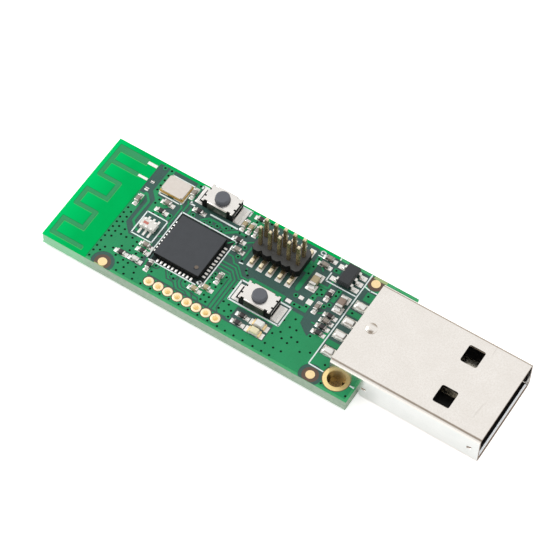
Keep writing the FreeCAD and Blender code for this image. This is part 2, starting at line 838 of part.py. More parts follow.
def crystal():
    x = "chip_x + crystal_x"
    y = "crystal_y"
    foot = "land_z + crystal_land_height"
    rounded_plate("crystal_base", x, y, foot, "crystal_length", "crystal_width",
                  "crystal_base_height", "crystal_round / 2")
    ring_low = foot + " + crystal_base_height"
    rounded_plate("crystal_seal_ring", x, y, ring_low,
                  "crystal_length - crystal_ring_inset * 2",
                  "crystal_width - crystal_ring_inset * 2",
                  "crystal_ring_height", "crystal_round")
    lid = rounded_plate("crystal_lid", x, y, ring_low + " + crystal_ring_height",
                        "crystal_length - crystal_lid_inset * 2",
                        "crystal_width - crystal_lid_inset * 2",
                        "crystal_lid_height", "crystal_round")
    plate = lid.Tip
    top = []
    for place, edge in enumerate(plate.Shape.Edges):
        if edge.BoundBox.ZMin > number("crystal_lid_height") - 0.01:
            top.append("Edge%d" % (place + 1))
    rim = lid.newObject("PartDesign::Chamfer", "lid_edge")
    rim.Base = (plate, top)
    bind(rim, "Size", "crystal_lid_height / 3")
    lid.Tip = rim
    doc.recompute()
    terminals = []
    for across in ("", "0 - "):
        for along in ("", "0 - "):
            out_x = "%s + (%s((crystal_length - crystal_land_length) / 2))" % (x, along)
            out_y = "%s + (%s((crystal_width - crystal_land_width) / 2))" % (y, across)
            terminals.append(block(out_x, out_y, "land_z", "crystal_land_length",
                                   "crystal_land_width", "crystal_land_height"))
            land(out_x, out_y, "crystal_land_length + land_margin * 2",
                 "crystal_land_width + land_margin * 2")
    group("crystal_terminals", terminals)


def balun():
    """Ceramic block with three wrapped terminals on each long side."""
    x = "chip_x + balun_x"
    y = "chip_y - balun_y"
    core = block(x, y, "land_z + balun_terminal_sheet", "balun_length",
                 "balun_width - balun_terminal_sheet * 2",
                 "balun_height - balun_terminal_sheet * 2")
    group("balun_body", [core])
    terminals = []
    for sign in ("", "0 - "):
        for place in range(3):
            out_x = "%s + balun_pitch * %d" % (x, place - 1)
            side_y = "%s + (%s(balun_width / 2 - balun_terminal_sheet / 2))" % (y, sign)
            foot_y = "%s + (%s(balun_width / 2 - balun_terminal_width / 2))" % (y, sign)
            wall = block(out_x, side_y, "land_z", "balun_terminal_width",
                         "balun_terminal_sheet", "balun_height")
            foot = block(out_x, foot_y, "land_z", "balun_terminal_width",
                         "balun_terminal_width", "balun_terminal_sheet")
            top = block(out_x, foot_y, "land_z + balun_height - balun_terminal_sheet",
                        "balun_terminal_width", "balun_terminal_width",
                        "balun_terminal_sheet")
            wrap = doc.addObject("Part::MultiFuse", "wrap")
            wrap.Shapes = [wall, foot, top]
            wrap.Refine = True
            terminals.append(wrap)
            land_y = "(balun_width + balun_land_toe - balun_terminal_width) / 2"
            land(out_x, "%s + (%s(%s))" % (y, sign, land_y), "balun_terminal_width",
                 "balun_land_toe + balun_terminal_width")
    group("balun_terminals", terminals)


# Regulator


def regulator():
    """Drafted moulding with five gull-wing leads: two on one side, three on the other."""
    length = "regulator_length"
    width = "regulator_width"
    low = "land_z + regulator_rise"
    middle = "regulator_height / 2 - lead_sheet / 2"
    body = new_body("regulator_body", "regulator_x", "regulator_y", low)
    sketches = []
    levels = (("0", "regulator_draft"), (middle, "0"),
              ("regulator_height / 2 + lead_sheet / 2", "0"),
              ("regulator_height", "regulator_draft"))
    for place, (level, inset) in enumerate(levels):
        plan = new_sketch(body, "regulator_level_%d" % place, "XY_Plane", level)
        rectangle(plan, "%s - %s / 2" % (inset, width), "%s / 2 - %s" % (width, inset),
                  "%s - %s / 2" % (inset, length), "%s / 2 - %s" % (length, inset))
        sketches.append(plan)
    doc.recompute()
    loft = body.newObject("PartDesign::AdditiveLoft", "regulator_moulding")
    loft.Profile = sketches[0]
    loft.Sections = sketches[1:]
    loft.Ruled = True
    body.Tip = loft
    doc.recompute()
    leads = []
    places = (("1", ("lead_pitch", "0", "0 - lead_pitch")),
              ("0 - 1", ("lead_pitch", "0 - lead_pitch")))
    for sign, rows in places:
        for row in rows:
            name = "lead_%d" % len(leads)
            lead = new_body(name, "regulator_x", "regulator_y + (%s)" % row, "land_z")
            side = new_sketch(lead, "lead_side", "XZ_Plane")
            start = "regulator_width / 2"
            knee = "regulator_width / 2 + lead_reach - lead_foot"
            end = "regulator_width / 2 + lead_reach"
            high = "regulator_rise + regulator_height / 2 + lead_sheet / 2"
            under = "regulator_rise + regulator_height / 2 - lead_sheet / 2"
            outline(side, [
                ("(%s) * (%s)" % (start, sign), high),
                ("(%s + lead_sheet) * (%s)" % (knee, sign), high, "lead_bend"),
                ("(%s + lead_sheet) * (%s)" % (knee, sign), "lead_sheet"),
                ("(%s) * (%s)" % (end, sign), "lead_sheet"),
                ("(%s) * (%s)" % (end, sign), "0"),
                ("(%s) * (%s)" % (knee, sign), "0"),
                ("(%s) * (%s)" % (knee, sign), under),
                ("(%s) * (%s)" % (start, sign), under),
            ])
            pad(lead, "lead_strip", side, "lead_width", "Symmetric")
            leads.append(lead)
            land_middle = "(regulator_width / 2 + lead_reach + (lead_land_toe - lead_foot) / 2)"
            land("regulator_x + %s * (%s)" % (land_middle, sign), "regulator_y + (%s)" % row,
                 "lead_foot + lead_land_toe", "lead_width + lead_land_margin * 2")
    group("regulator_leads", leads)


# Push switches


def push_switch(name, x, y):
    """Base with a well, snap dome, eared button, folded cover and two broad terminals."""
    half_length = "switch_length / 2"
    half_width = "switch_width / 2"
    base = new_body(name + "_base", x, y, "switch_low")
    plan = new_sketch(base, "base_plan", "XY_Plane")
    rectangle(plan, "0 - switch_length / 2", half_length,
              "cover_sheet - switch_width / 2", "%s - cover_sheet" % half_width)
    pad(base, "base_block", plan, "switch_base_height")
    well = new_sketch(base, "well_plan", "XY_Plane", "switch_base_height")
    rectangle(well, "0 - well_length / 2", "well_length / 2",
              "0 - well_width / 2", "well_width / 2", "well_round")
    base.Tip = pocket(base, "well", well, "well_depth")

    cover = new_body(name + "_cover", x, y, "cover_low")
    section = new_sketch(cover, "cover_section", "YZ_Plane")
    outline(section, [
        ("0 - switch_width / 2", "0 - skirt_drop"),
        ("cover_sheet - switch_width / 2", "0 - skirt_drop"),
        ("cover_sheet - switch_width / 2", "0"),
        ("%s - cover_sheet" % half_width, "0"),
        ("%s - cover_sheet" % half_width, "0 - skirt_drop"),
        (half_width, "0 - skirt_drop"),
        (half_width, "cover_sheet", "cover_sheet"),
        ("0 - switch_width / 2", "cover_sheet", "cover_sheet"),
    ])
    pad(cover, "folded_sheet", section, "switch_length", "Symmetric")
    opening = new_sketch(cover, "button_opening", "XY_Plane")
    circle(opening, "0", "0", "button_radius + button_gap")
    pocket(cover, "opening", opening)
    skirts = new_sketch(cover, "skirt_front", "XZ_Plane")
    for along in ("1", "0 - 1"):
        rectangle(skirts, "(skirt_length / 2) * (%s)" % along, "switch_length * (%s)" % along,
                  "0 - skirt_drop * 2", "0")
    pocket(cover, "skirt_ends", skirts)
    reliefs = new_sketch(cover, "relief_plan", "XY_Plane")
    for along in ("1", "0 - 1"):
        for across in ("1", "0 - 1"):
            inner = "(skirt_length / 2) * (%s)" % along
            outer = "(skirt_length / 2 + skirt_relief) * (%s)" % along
            depth = "(switch_width / 2 - relief_depth) * (%s)" % across
            rectangle(reliefs, inner, outer, depth, "switch_width * (%s)" % across)
            row = "(hook_spacing / 2) * (%s)" % across
            rectangle(reliefs, "(switch_length / 2 - hook_size) * (%s)" % along,
                      "switch_length * (%s)" % along,
                      "%s - hook_size / 2" % row, "%s + hook_size / 2" % row)
    cover.Tip = pocket(cover, "reliefs", reliefs)

    button = new_body(name + "_button", x, y)
    stem = new_sketch(button, "stem_plan", "XY_Plane", "flange_low")
    circle(stem, "0", "0", "button_radius")
    stem_pad = pad(button, "stem", stem, "button_height - flange_low")
    rim = button.newObject("PartDesign::Chamfer", "rounded_top")
    rim.Base = (stem_pad, [edge_name(stem_pad, "button_height - flange_low")])
    bind(rim, "Size", "button_edge")
    doc.recompute()
    ears = new_sketch(button, "ear_plan", "XY_Plane", "flange_low")
    rectangle(ears, "0 - flange_length / 2", "flange_length / 2",
              "0 - flange_width / 2", "flange_width / 2")
    button.Tip = pad(button, "ears", ears, "flange_thickness")

    dome = new_body(name + "_dome", x, y, "well_floor")
    section = new_sketch(dome, "dome_section", "XZ_Plane")
    outline(section, [
        ("0", "dome_rise - dome_sheet"),
        ("dome_radius - dome_sheet", "0"),
        ("dome_radius", "0"),
        ("dome_crown", "dome_rise"),
        ("0", "dome_rise"),
    ])
    revolve(dome, "snap_dome", section)

    terminals = []
    for along in ("1", "0 - 1"):
        middle = "(switch_length / 2 + terminal_reach / 2) * (%s)" % along
        terminals.append(block("(%s) + %s" % (x, middle), y, "land_z",
                               "terminal_reach", "terminal_width", "terminal_sheet"))
        land_middle = "(switch_length + terminal_reach + terminal_land_toe) / 2 * (%s)" % along
        land("(%s) + %s" % (x, land_middle), y, "terminal_reach + terminal_land_toe",
             "terminal_width + land_margin * 4")
    group(name + "_terminals", terminals)


# Pin header


def pin_header():
    """Row of notched insulator cells with bent square pins pushed through them."""
    insulator = new_body("header_insulator", "header_x", "header_y")
    half = "insulator_width / 2"
    plan = new_sketch(insulator, "cell_plan", "XY_Plane", "insulator_low")
    cell = "pin_pitch / 2"
    start = "0 - header_half"
    outline(plan, [
        (start, "insulator_notch - %s" % half),
        ("insulator_notch - header_half", "0 - %s" % half),
        ("pin_pitch - insulator_notch - header_half", "0 - %s" % half),
        ("pin_pitch - header_half", "insulator_notch - %s" % half),
        ("pin_pitch - header_half", "%s - insulator_notch" % half),
        ("pin_pitch - insulator_notch - header_half", half),
        ("insulator_notch - header_half", half),
        (start, "%s - insulator_notch" % half),
    ])
    block_cell = pad(insulator, "cell", plan, "insulator_high - insulator_low")
    seats = new_sketch(insulator, "pin_seats", "XY_Plane", "insulator_low")
    for side in ("pin_pitch / 2", "0 - pin_pitch / 2"):
        rectangle(seats, "%s - header_half - pin_width / 2" % cell,
                  "%s - header_half + pin_width / 2" % cell,
                  "%s - pin_width / 2" % side, "%s + pin_width / 2" % side)
    seat_cut = pocket(insulator, "pin_seat", seats)
    span = "pin_pitch * (pin_columns - 1)"
    pattern(insulator, "cells", [block_cell, seat_cut], "X_Axis", span, "pin_columns")
    number_of_pin = 0
    for column in range(int(SIZES["pin_columns"])):
        for sign in ("0 - 1", "1"):
            number_of_pin += 1
            x = "header_x - header_half + pin_pitch * (%d + 0.5)" % column
            pin = new_body("header_pin_%d" % number_of_pin, x, "header_y", "land_z")
            side = new_sketch(pin, "pin_side", "YZ_Plane")
            inner = "(pin_pitch / 2 - pin_width / 2) * (%s)" % sign
            outer = "(pin_pitch / 2 + pin_width / 2) * (%s)" % sign
            toe = "pin_foot_reach * (%s)" % sign
            top = "pin_height - land_z"
            outline(side, [
                (inner, "0"),
                (toe, "0"),
                (toe, "pin_width"),
                (outer, "pin_width"),
                (outer, "%s - pin_point" % top),
                ("(pin_pitch / 2 + pin_width / 6) * (%s)" % sign, top),
                ("(pin_pitch / 2 - pin_width / 6) * (%s)" % sign, top),
                (inner, "%s - pin_point" % top),
            ])
            pad(pin, "bent_wire", side, "pin_width", "Symmetric")
            point = new_sketch(pin, "point_front", "XZ_Plane")
            for edge in ("1", "0 - 1"):
                outline(point, [
                    ("(pin_width / 2) * (%s)" % edge, "%s - pin_point" % top),
                    ("pin_width * (%s)" % edge, "%s - pin_point" % top),
                    ("pin_width * (%s)" % edge, "%s + pin_point" % top),
                    ("(pin_width / 6) * (%s)" % edge, "%s + pin_point" % top),
                    ("(pin_width / 6) * (%s)" % edge, top),
                ])
            pin.Tip = pocket(pin, "point", point)
            land(x, "header_y + (pin_foot_reach - pin_pitch / 2) * (%s)" % sign,
                 "pin_width + land_margin * 7", "pin_pitch * 1.6")


# Lamps and the small two-ended parts


def lamp(name, y):
    x = "header_x + led_x"
    height = "led_base_height"
    cap = "led_terminal"
    core_length = "led_length - led_terminal * 2"
    base = block(x, y, "land_z", core_length, "led_width", height)
    group(name + "_base", [base])
    lens = new_body(name + "_lens", x, y, "land_z + led_base_height")
    plan = new_sketch(lens, "lens_plan", "XY_Plane")
    rectangle(plan, "0 - led_lens_length / 2", "led_lens_length / 2",
              "0 - led_width / 2", "led_width / 2")
    moulded = pad(lens, "lens_block", plan, "led_lens_height")
    moulded.TaperAngle = -6
    ends = []
    for sign in ("", "0 - "):
        end_x = "%s + (%s((led_length - %s) / 2))" % (x, sign, cap)
        ends.append(block(end_x, y, "land_z", cap, "led_width", height))
        land("%s + (%s((led_length + small_land) / 2 - led_terminal))" % (x, sign), y,
             "led_terminal * 2 + small_land", "led_width")
    group(name + "_terminals", ends)


small_bodies = {"capacitor": [], "resistor": [], "inductor": [], "large": []}
end_caps = []


def chip_part(kind, x, y, upright=False):
    """Ceramic body between two metal ends, on two lands; upright turns it along y."""
    large = kind == "large"
    stem = "large" if large else "small"
    cap = stem + "_cap"
    wide = stem + "_width"
    high = "resistor_height" if kind == "resistor" else stem + "_height"
    length = stem + "_length"
    toe = stem + "_land"
    land_width = wide + (" + large_land_margin * 2" if large else " + land_margin * 2")
    core = "%s - %s * 2" % (length, cap)
    reach = "(%s - %s) / 2" % (length, cap)
    land_reach = "(%s + %s) / 2 - %s * 0.75" % (length, toe, cap)
    land_size = "%s * 1.5 + %s" % (cap, toe)
    if upright:
        small_bodies[kind].append(block(x, y, "land_z", wide, core, high))
    else:
        small_bodies[kind].append(block(x, y, "land_z", core, wide, high))
    for sign in ("+", "-"):
        if upright:
            end_caps.append(block(x, "%s %s %s" % (y, sign, reach), "land_z", wide, cap, high))
            land(x, "%s %s (%s)" % (y, sign, land_reach), land_width, land_size)
        else:
            end_caps.append(block("%s %s %s" % (x, sign, reach), y, "land_z", cap, wide, high))
            land("%s %s (%s)" % (x, sign, land_reach), y, land_size, land_width)


# Kind, group, distance from the group's middle (x), place from the centre line (y), upright
SMALL_PARTS = (
    ("capacitor", "chip_x", -9.0, 1.95, True),
    ("capacitor", "chip_x", -5.72, 3.3, False),
    ("resistor", "chip_x", -5.78, 2.02, False),
    ("capacitor", "chip_x", -3.93, 6.17, True),
    ("resistor", "chip_x", -2.05, 4.4, False),
    ("capacitor", "chip_x", 3.4, 5.7, True),
    ("capacitor", "chip_x", 4.25, 5.7, True),
    ("capacitor", "chip_x", 5.1, 5.7, True),
    ("resistor", "chip_x", 3.95, 3.55, False),
    ("capacitor", "chip_x", 4.55, 2.3, False),
    ("capacitor", "chip_x", -4.6, -2.9, False),
    ("resistor", "chip_x", -4.55, -3.75, False),
    ("resistor", "chip_x", -6.5, -5.25, False),
    ("inductor", "chip_x", -4.6, -5.2, False),
    ("resistor", "chip_x", -2.85, -5.0, True),
    ("capacitor", "chip_x", 3.3, -4.85, False),
    ("capacitor", "chip_x", 4.35, -4.0, False),
    ("capacitor", "chip_x", 4.85, -2.05, True),
    ("resistor", "chip_x", 4.65, 7.4, False),
    ("resistor", "header_x", 0.5, -4.85, False),
    ("resistor", "header_x", 0.5, -5.95, False),
    ("capacitor", "header_x", 4.85, 7.1, False),
    ("capacitor", "header_x", 4.75, 6.05, False),
    ("large", "header_x", 5.0, 3.5, True),
    ("resistor", "regulator_x", -0.7, 2.85, True),
    ("capacitor", "regulator_x", -1.0, 0.7, True),
    ("large", "regulator_x", 1.15, 2.6, True),
    ("resistor", "regulator_x", 0.9, 0.5, False),
    ("capacitor", "regulator_x", 0.9, -0.35, False),
    ("resistor", "regulator_x", 0.9, -1.2, False),
    ("resistor", "regulator_x", 0.9, -2.1, False),
)

# Bare tinned lands: group, distance from its middle (x), place (y), length, width
SPARE_LANDS = (
    ("chip_x", -8.95, 4.95, "small_width", "small_length * 0.4"),
    ("chip_x", -9.0, 3.74, "small_width", "small_length * 0.45"),
    ("header_x", 4.75, 0.9, "small_length * 0.6", "small_width"),
    ("header_x", 5.85, 0.9, "small_length * 0.7", "small_width * 1.5"),
    ("header_x", 3.75, -0.25, "small_length * 0.7", "small_width"),
)


def offset(origin, distance):
    return "%s %s %s" % (origin, "+" if distance >= 0 else "-", abs(distance))


def small_parts():
    for kind, origin, distance, y, upright in SMALL_PARTS:
        chip_part(kind, offset(origin, distance), offset("0", y), upright)
    group("small_capacitors", small_bodies["capacitor"])
    group("chip_resistors", small_bodies["resistor"])
    group("chip_inductors", small_bodies["inductor"])
    group("large_capacitors", small_bodies["large"])
    group("chip_end_caps", end_caps)
    for origin, distance, y, length, width in SPARE_LANDS:
        land(offset(origin, distance), offset("0", y), length, width)
    for y, width in (("shorting_bar_y", "shorting_bar_width * 0.5"),
                     ("feed_bar_y", "trace_width * 0.75")):
        land("antenna_zone - feed_land_length / 2", y, "feed_land_length", width)
    group("solder_lands", lands)


NODES = [
    "circuit_board", "antenna_trace", "fiducial_marks", "io_hole_linings",
    "shell_hole_linings", "solder_lands", "plug_shell", "plug_insulator",
    "plug_contact_1", "plug_contact_2", "plug_contact_3", "plug_contact_4",
    "plug_solder_joints", "leg_solder", "radio_chip_body", "radio_chip_lands",
    "radio_chip_heat_pad", "crystal_base", "crystal_seal_ring", "crystal_lid",
    "crystal_terminals", "balun_body", "balun_terminals", "regulator_body",
    "regulator_leads", "header_insulator", "small_capacitors", "large_capacitors",
    "chip_resistors", "chip_inductors", "chip_end_caps",
]
NODES += ["header_pin_%d" % place for place in range(1, 11)]
for switch in ("switch_1", "switch_2"):
    NODES += [switch + ending for ending in
              ("_base", "_cover", "_button", "_dome", "_terminals")]
for light in ("led_1", "led_2"):
    NODES += [light + ending for ending in ("_base", "_lens", "_terminals")]


def check_model():
    """Stops if a feature failed, a cut removed nothing or a node has no good solid."""
    for item in doc.Objects:
        if "Invalid" in item.State or "Error" in item.State:
            raise RuntimeError("%s failed: %s" % (item.Label, item.State))
        if item.TypeId in ("PartDesign::Pocket", "PartDesign::Groove"):
            if item.Shape.Volume >= item.BaseFeature.Shape.Volume - 1e-6:
                raise RuntimeError("%s removed nothing" % item.Label)
    for name in NODES:
        shape = doc.getObject(name).Shape
        if shape.isNull() or not shape.isValid() or not shape.Solids:
            raise RuntimeError("%s has no valid solid" % name)


def write_parts():
    os.makedirs("parts", exist_ok=True)
    for name in NODES:
        doc.getObject(name).Shape.exportStep(os.path.join("parts", name + ".step"))


write_sheet()
circuit_board()
hole_linings()
antenna_trace()
fiducials()
plug_shell()
plug_contacts()
plug_insulator()
plug_solder()
radio_chip()
crystal()
balun()
regulator()
push_switch("switch_1", "chip_x + switch_1_x", "switch_1_y")
push_switch("switch_2", "header_x + switch_2_x", "switch_2_y")
pin_header()
lamp("led_1", "led_1_y")
lamp("led_2", "led_2_y")
small_parts()
doc.recompute()
check_model()
write_parts()
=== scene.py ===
"""Looks of a bare USB radio stick: board artwork, solder, chip packages and metal finishes.

Board places are in millimetres from the antenna end (x), the near edge (y) and the board's top (z).
"""
import math
import random

import bmesh
import bpy
from mathutils import Matrix, Vector, noise
from mathutils.geometry import delaunay_2d_cdt


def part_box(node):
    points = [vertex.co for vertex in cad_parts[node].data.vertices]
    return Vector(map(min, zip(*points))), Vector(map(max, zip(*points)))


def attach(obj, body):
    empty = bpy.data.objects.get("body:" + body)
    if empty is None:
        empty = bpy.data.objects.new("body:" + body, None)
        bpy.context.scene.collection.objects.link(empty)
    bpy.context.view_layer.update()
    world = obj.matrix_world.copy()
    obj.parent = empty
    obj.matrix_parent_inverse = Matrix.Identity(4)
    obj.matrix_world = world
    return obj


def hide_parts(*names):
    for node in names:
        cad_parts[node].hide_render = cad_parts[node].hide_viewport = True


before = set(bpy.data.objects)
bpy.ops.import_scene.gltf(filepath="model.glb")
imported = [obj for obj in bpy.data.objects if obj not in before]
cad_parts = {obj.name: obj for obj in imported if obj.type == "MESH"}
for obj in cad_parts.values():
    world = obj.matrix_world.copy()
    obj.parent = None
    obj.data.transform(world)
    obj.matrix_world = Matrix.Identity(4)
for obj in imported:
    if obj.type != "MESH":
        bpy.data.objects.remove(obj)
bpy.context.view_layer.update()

MM = 0.001
BOARD_LOW, BOARD_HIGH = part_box("circuit_board")
BOARD_LENGTH = (BOARD_HIGH.x - BOARD_LOW.x) / MM
BOARD_WIDTH = (BOARD_HIGH.y - BOARD_LOW.y) / MM
BOARD_THICKNESS = (BOARD_HIGH.z - BOARD_LOW.z) / MM
random.seed(7)


def at(x, y, z=0.0):
    """Point of the row frame for a place on the board."""
    return Vector((BOARD_LOW.x + x * MM, BOARD_LOW.y + y * MM, BOARD_HIGH.z + z * MM))


def box_mm(low, high):
    """A box of the row frame as board places: x, y and z ranges."""
    a = (low - at(0, 0)) / MM
    b = (high - at(0, 0)) / MM
    return a, b


# Colours and materials


def shade(red, green, blue):
    """Linear colour of an 8-bit display colour."""
    linear = []
    for value in (red, green, blue):
        part = value / 255
        linear.append(part / 12.92 if part <= 0.04045 else ((part + 0.055) / 1.055) ** 2.4)
    return tuple(linear)


class Finish:
    """A node material: one shader whose colour, gloss and relief come from patterns."""

    def __init__(self, name, colour, roughness=0.5, metallic=0.0, **sockets):
        self.material = bpy.data.materials.new(name)
        self.material.use_nodes = True
        tree = self.material.node_tree
        self.nodes, self.links = tree.nodes, tree.links
        self.shader = tree.nodes["Principled BSDF"]
        self.colour = colour
        self.shader.inputs["Base Color"].default_value = (*colour, 1)
        self.shader.inputs["Roughness"].default_value = roughness
        self.shader.inputs["Metallic"].default_value = metallic
        for socket, value in sockets.items():
            self.shader.inputs[socket.replace("_", " ")].default_value = value
        self.place = self.nodes.new("ShaderNodeTexCoord").outputs["Object"]
        self.base = None
        self.normal = None

    def grain(self, size, detail=3.0, stretch=(1, 1, 1), roughness=0.55):
        """Noise between 0 and 1 with features of about size mm."""
        mapping = self.nodes.new("ShaderNodeMapping")
        mapping.inputs["Scale"].default_value = [1 / part for part in stretch]
        texture = self.nodes.new("ShaderNodeTexNoise")
        texture.inputs["Scale"].default_value = 1 / (size * MM)
        texture.inputs["Detail"].default_value = detail
        texture.inputs["Roughness"].default_value = roughness
        self.links.new(self.place, mapping.inputs["Vector"])
        self.links.new(mapping.outputs["Vector"], texture.inputs["Vector"])
        return texture.outputs["Fac"]

    def spread(self, source, low, high, start=0.3, end=0.7):
        """Maps a pattern to values from low to high."""
        node = self.nodes.new("ShaderNodeMapRange")
        node.inputs["From Min"].default_value = start
        node.inputs["From Max"].default_value = end
        node.inputs["To Min"].default_value = low
        node.inputs["To Max"].default_value = high
        self.links.new(source, node.inputs["Value"])
        return node.outputs["Result"]

    def tint(self, source, colour, amount=1.0, start=0.35, end=0.65):
        """Mixes a colour in where the pattern is high."""
        mix = self.nodes.new("ShaderNodeMix")
        mix.data_type = "RGBA"
        if self.base is None:
            mix.inputs["A"].default_value = (*self.colour, 1)
        else:
            self.links.new(self.base, mix.inputs["A"])
        mix.inputs["B"].default_value = (*colour, 1)
        self.links.new(self.spread(source, 0, amount, start, end), mix.inputs["Factor"])
        self.base = mix.outputs["Result"]
        self.links.new(self.base, self.shader.inputs["Base Color"])
        return self

    def gloss(self, source, low, high):
        self.links.new(self.spread(source, low, high), self.shader.inputs["Roughness"])
        return self

    def relief(self, source, height, strength=1.0):
        """Raises the surface by up to height mm where the pattern is high."""
        bump = self.nodes.new("ShaderNodeBump")
        bump.inputs["Strength"].default_value = strength
        bump.inputs["Distance"].default_value = height * MM
        self.links.new(source, bump.inputs["Height"])
        if self.normal is not None:
            self.links.new(self.normal, bump.inputs["Normal"])
        self.normal = bump.outputs["Normal"]
        self.links.new(self.normal, self.shader.inputs["Normal"])
        return self


def masked(name, colour, dark, light, specular=0.4):
    """Glossy solder mask with soft mottling and a fine orange-peel surface."""
    finish = Finish(name, colour, 0.3, Specular_IOR_Level=specular)
    finish.tint(finish.grain(2.2, 2), dark, 0.45)
    finish.tint(finish.grain(0.12, 4), light, 0.3)
    finish.gloss(finish.grain(0.5), 0.24, 0.42)
    finish.relief(finish.grain(0.25, 3), 0.006)
    return finish.material


def see_through(name, rim, middle, light):
    """Mask over bare laminate, which glows a paler green towards the board's end."""
    finish = Finish(name, middle, 0.3, Specular_IOR_Level=0.01)
    split = finish.nodes.new("ShaderNodeSeparateXYZ")
    finish.links.new(finish.place, split.inputs["Vector"])
    end = at(0, 0).x
    finish.tint(split.outputs["X"], rim, 1.0, end + 3.6 * MM, end)
    finish.tint(finish.grain(1.6, 3), light, 0.25)
    finish.tint(finish.grain(0.14, 4), light, 0.2)
    finish.gloss(finish.grain(0.5), 0.26, 0.44)
    finish.relief(finish.grain(0.3, 3), 0.005)
    return finish.material


def paper():
    """White studio paper: it lights up for the camera and in reflections, and keeps shadows."""
    finish = Finish("floor_paper", shade(250, 250, 250), 0.85, Specular_IOR_Level=0.1)
    finish.tint(finish.grain(40, 2), shade(246, 246, 246), 0.5)
    path = finish.nodes.new("ShaderNodeLightPath")
    total = None
    for ray, share in (("Is Camera Ray", 0.6), ("Is Glossy Ray", 0.3),
                       ("Is Transmission Ray", 0.3)):
        add = finish.nodes.new("ShaderNodeMath")
        add.operation = "MULTIPLY_ADD"
        finish.links.new(path.outputs[ray], add.inputs[0])
        add.inputs[1].default_value = share
        add.inputs[2].default_value = 0
        if total:
            finish.links.new(total, add.inputs[2])
        total = add.outputs["Value"]
    finish.shader.inputs["Emission Color"].default_value = (1, 1, 1, 1)
    finish.links.new(total, finish.shader.inputs["Emission Strength"])
    return finish.material


def metal(name, colour, dull, low, high, size=0.3, height=0.008, metallic=1.0, glow=None):
    """Metal with duller patches, uneven gloss and a fine surface grain.

    Glow is painted light: an emission that stands for the light a hollow place gets through its other
    end.
    """
    finish = Finish(name, colour, (low + high) / 2, metallic)
    if glow:
        finish.shader.inputs["Emission Color"].default_value = (*glow, 1)
        finish.shader.inputs["Emission Strength"].default_value = 1.0
    finish.tint(finish.grain(size * 3, 3), dull, 0.5)
    finish.gloss(finish.grain(size, 4), low, high)
    finish.relief(finish.grain(size, 4), height)
    return finish.material


def steel():
    """Folded bright steel with faint dull patches, fine speckle and a few thin scratches."""
    finish = Finish("plug_steel", shade(243, 238, 232), 0.2, 1.0)
    finish.tint(finish.grain(2.6, 4), shade(234, 228, 221), 0.6)
    finish.tint(finish.grain(0.22, 3), shade(231, 225, 217), 0.6)
    finish.tint(finish.grain(1.1, 2, (1, 9, 1)), shade(214, 207, 199), 0.6, 0.68, 0.74)
    finish.gloss(finish.grain(0.5, 4), 0.16, 0.24)
    finish.relief(finish.grain(0.5, 4), 0.0006)
    return finish.material


def moulded(name, colour, light, low=0.45, high=0.65, size=0.06, height=0.012, specular=0.4):
    """Moulded plastic, epoxy or ceramic with a fine matte grain."""
    finish = Finish(name, colour, (low + high) / 2, Specular_IOR_Level=specular)
    finish.tint(finish.grain(size, 4), light, 0.5)
    finish.tint(finish.grain(size * 20, 2), light, 0.25)
    finish.gloss(finish.grain(size * 4), low, high)
    finish.relief(finish.grain(size, 4), height)
    return finish.material


def laminate_edge():
    """Cut glass-fibre edge: pale green layers along the board."""
    finish = Finish("laminate_edge", shade(164, 186, 166), 0.6, Specular_IOR_Level=0.3)
    finish.tint(finish.grain(0.16, 3, (30, 30, 1)), shade(128, 164, 134), 0.55)
    finish.tint(finish.grain(0.5, 4), shade(194, 206, 190), 0.35)
    split = finish.nodes.new("ShaderNodeSeparateXYZ")
    finish.links.new(finish.place, split.inputs["Vector"])
    clear_end = at(6.05, 0).x
    finish.tint(split.outputs["X"], shade(146, 218, 170), 0.8, clear_end + 1.5 * MM,
                clear_end - 1.5 * MM)
    finish.gloss(finish.grain(0.2), 0.5, 0.75)
    finish.relief(finish.grain(0.1, 3, (12, 12, 1)), 0.02)
    return finish.material


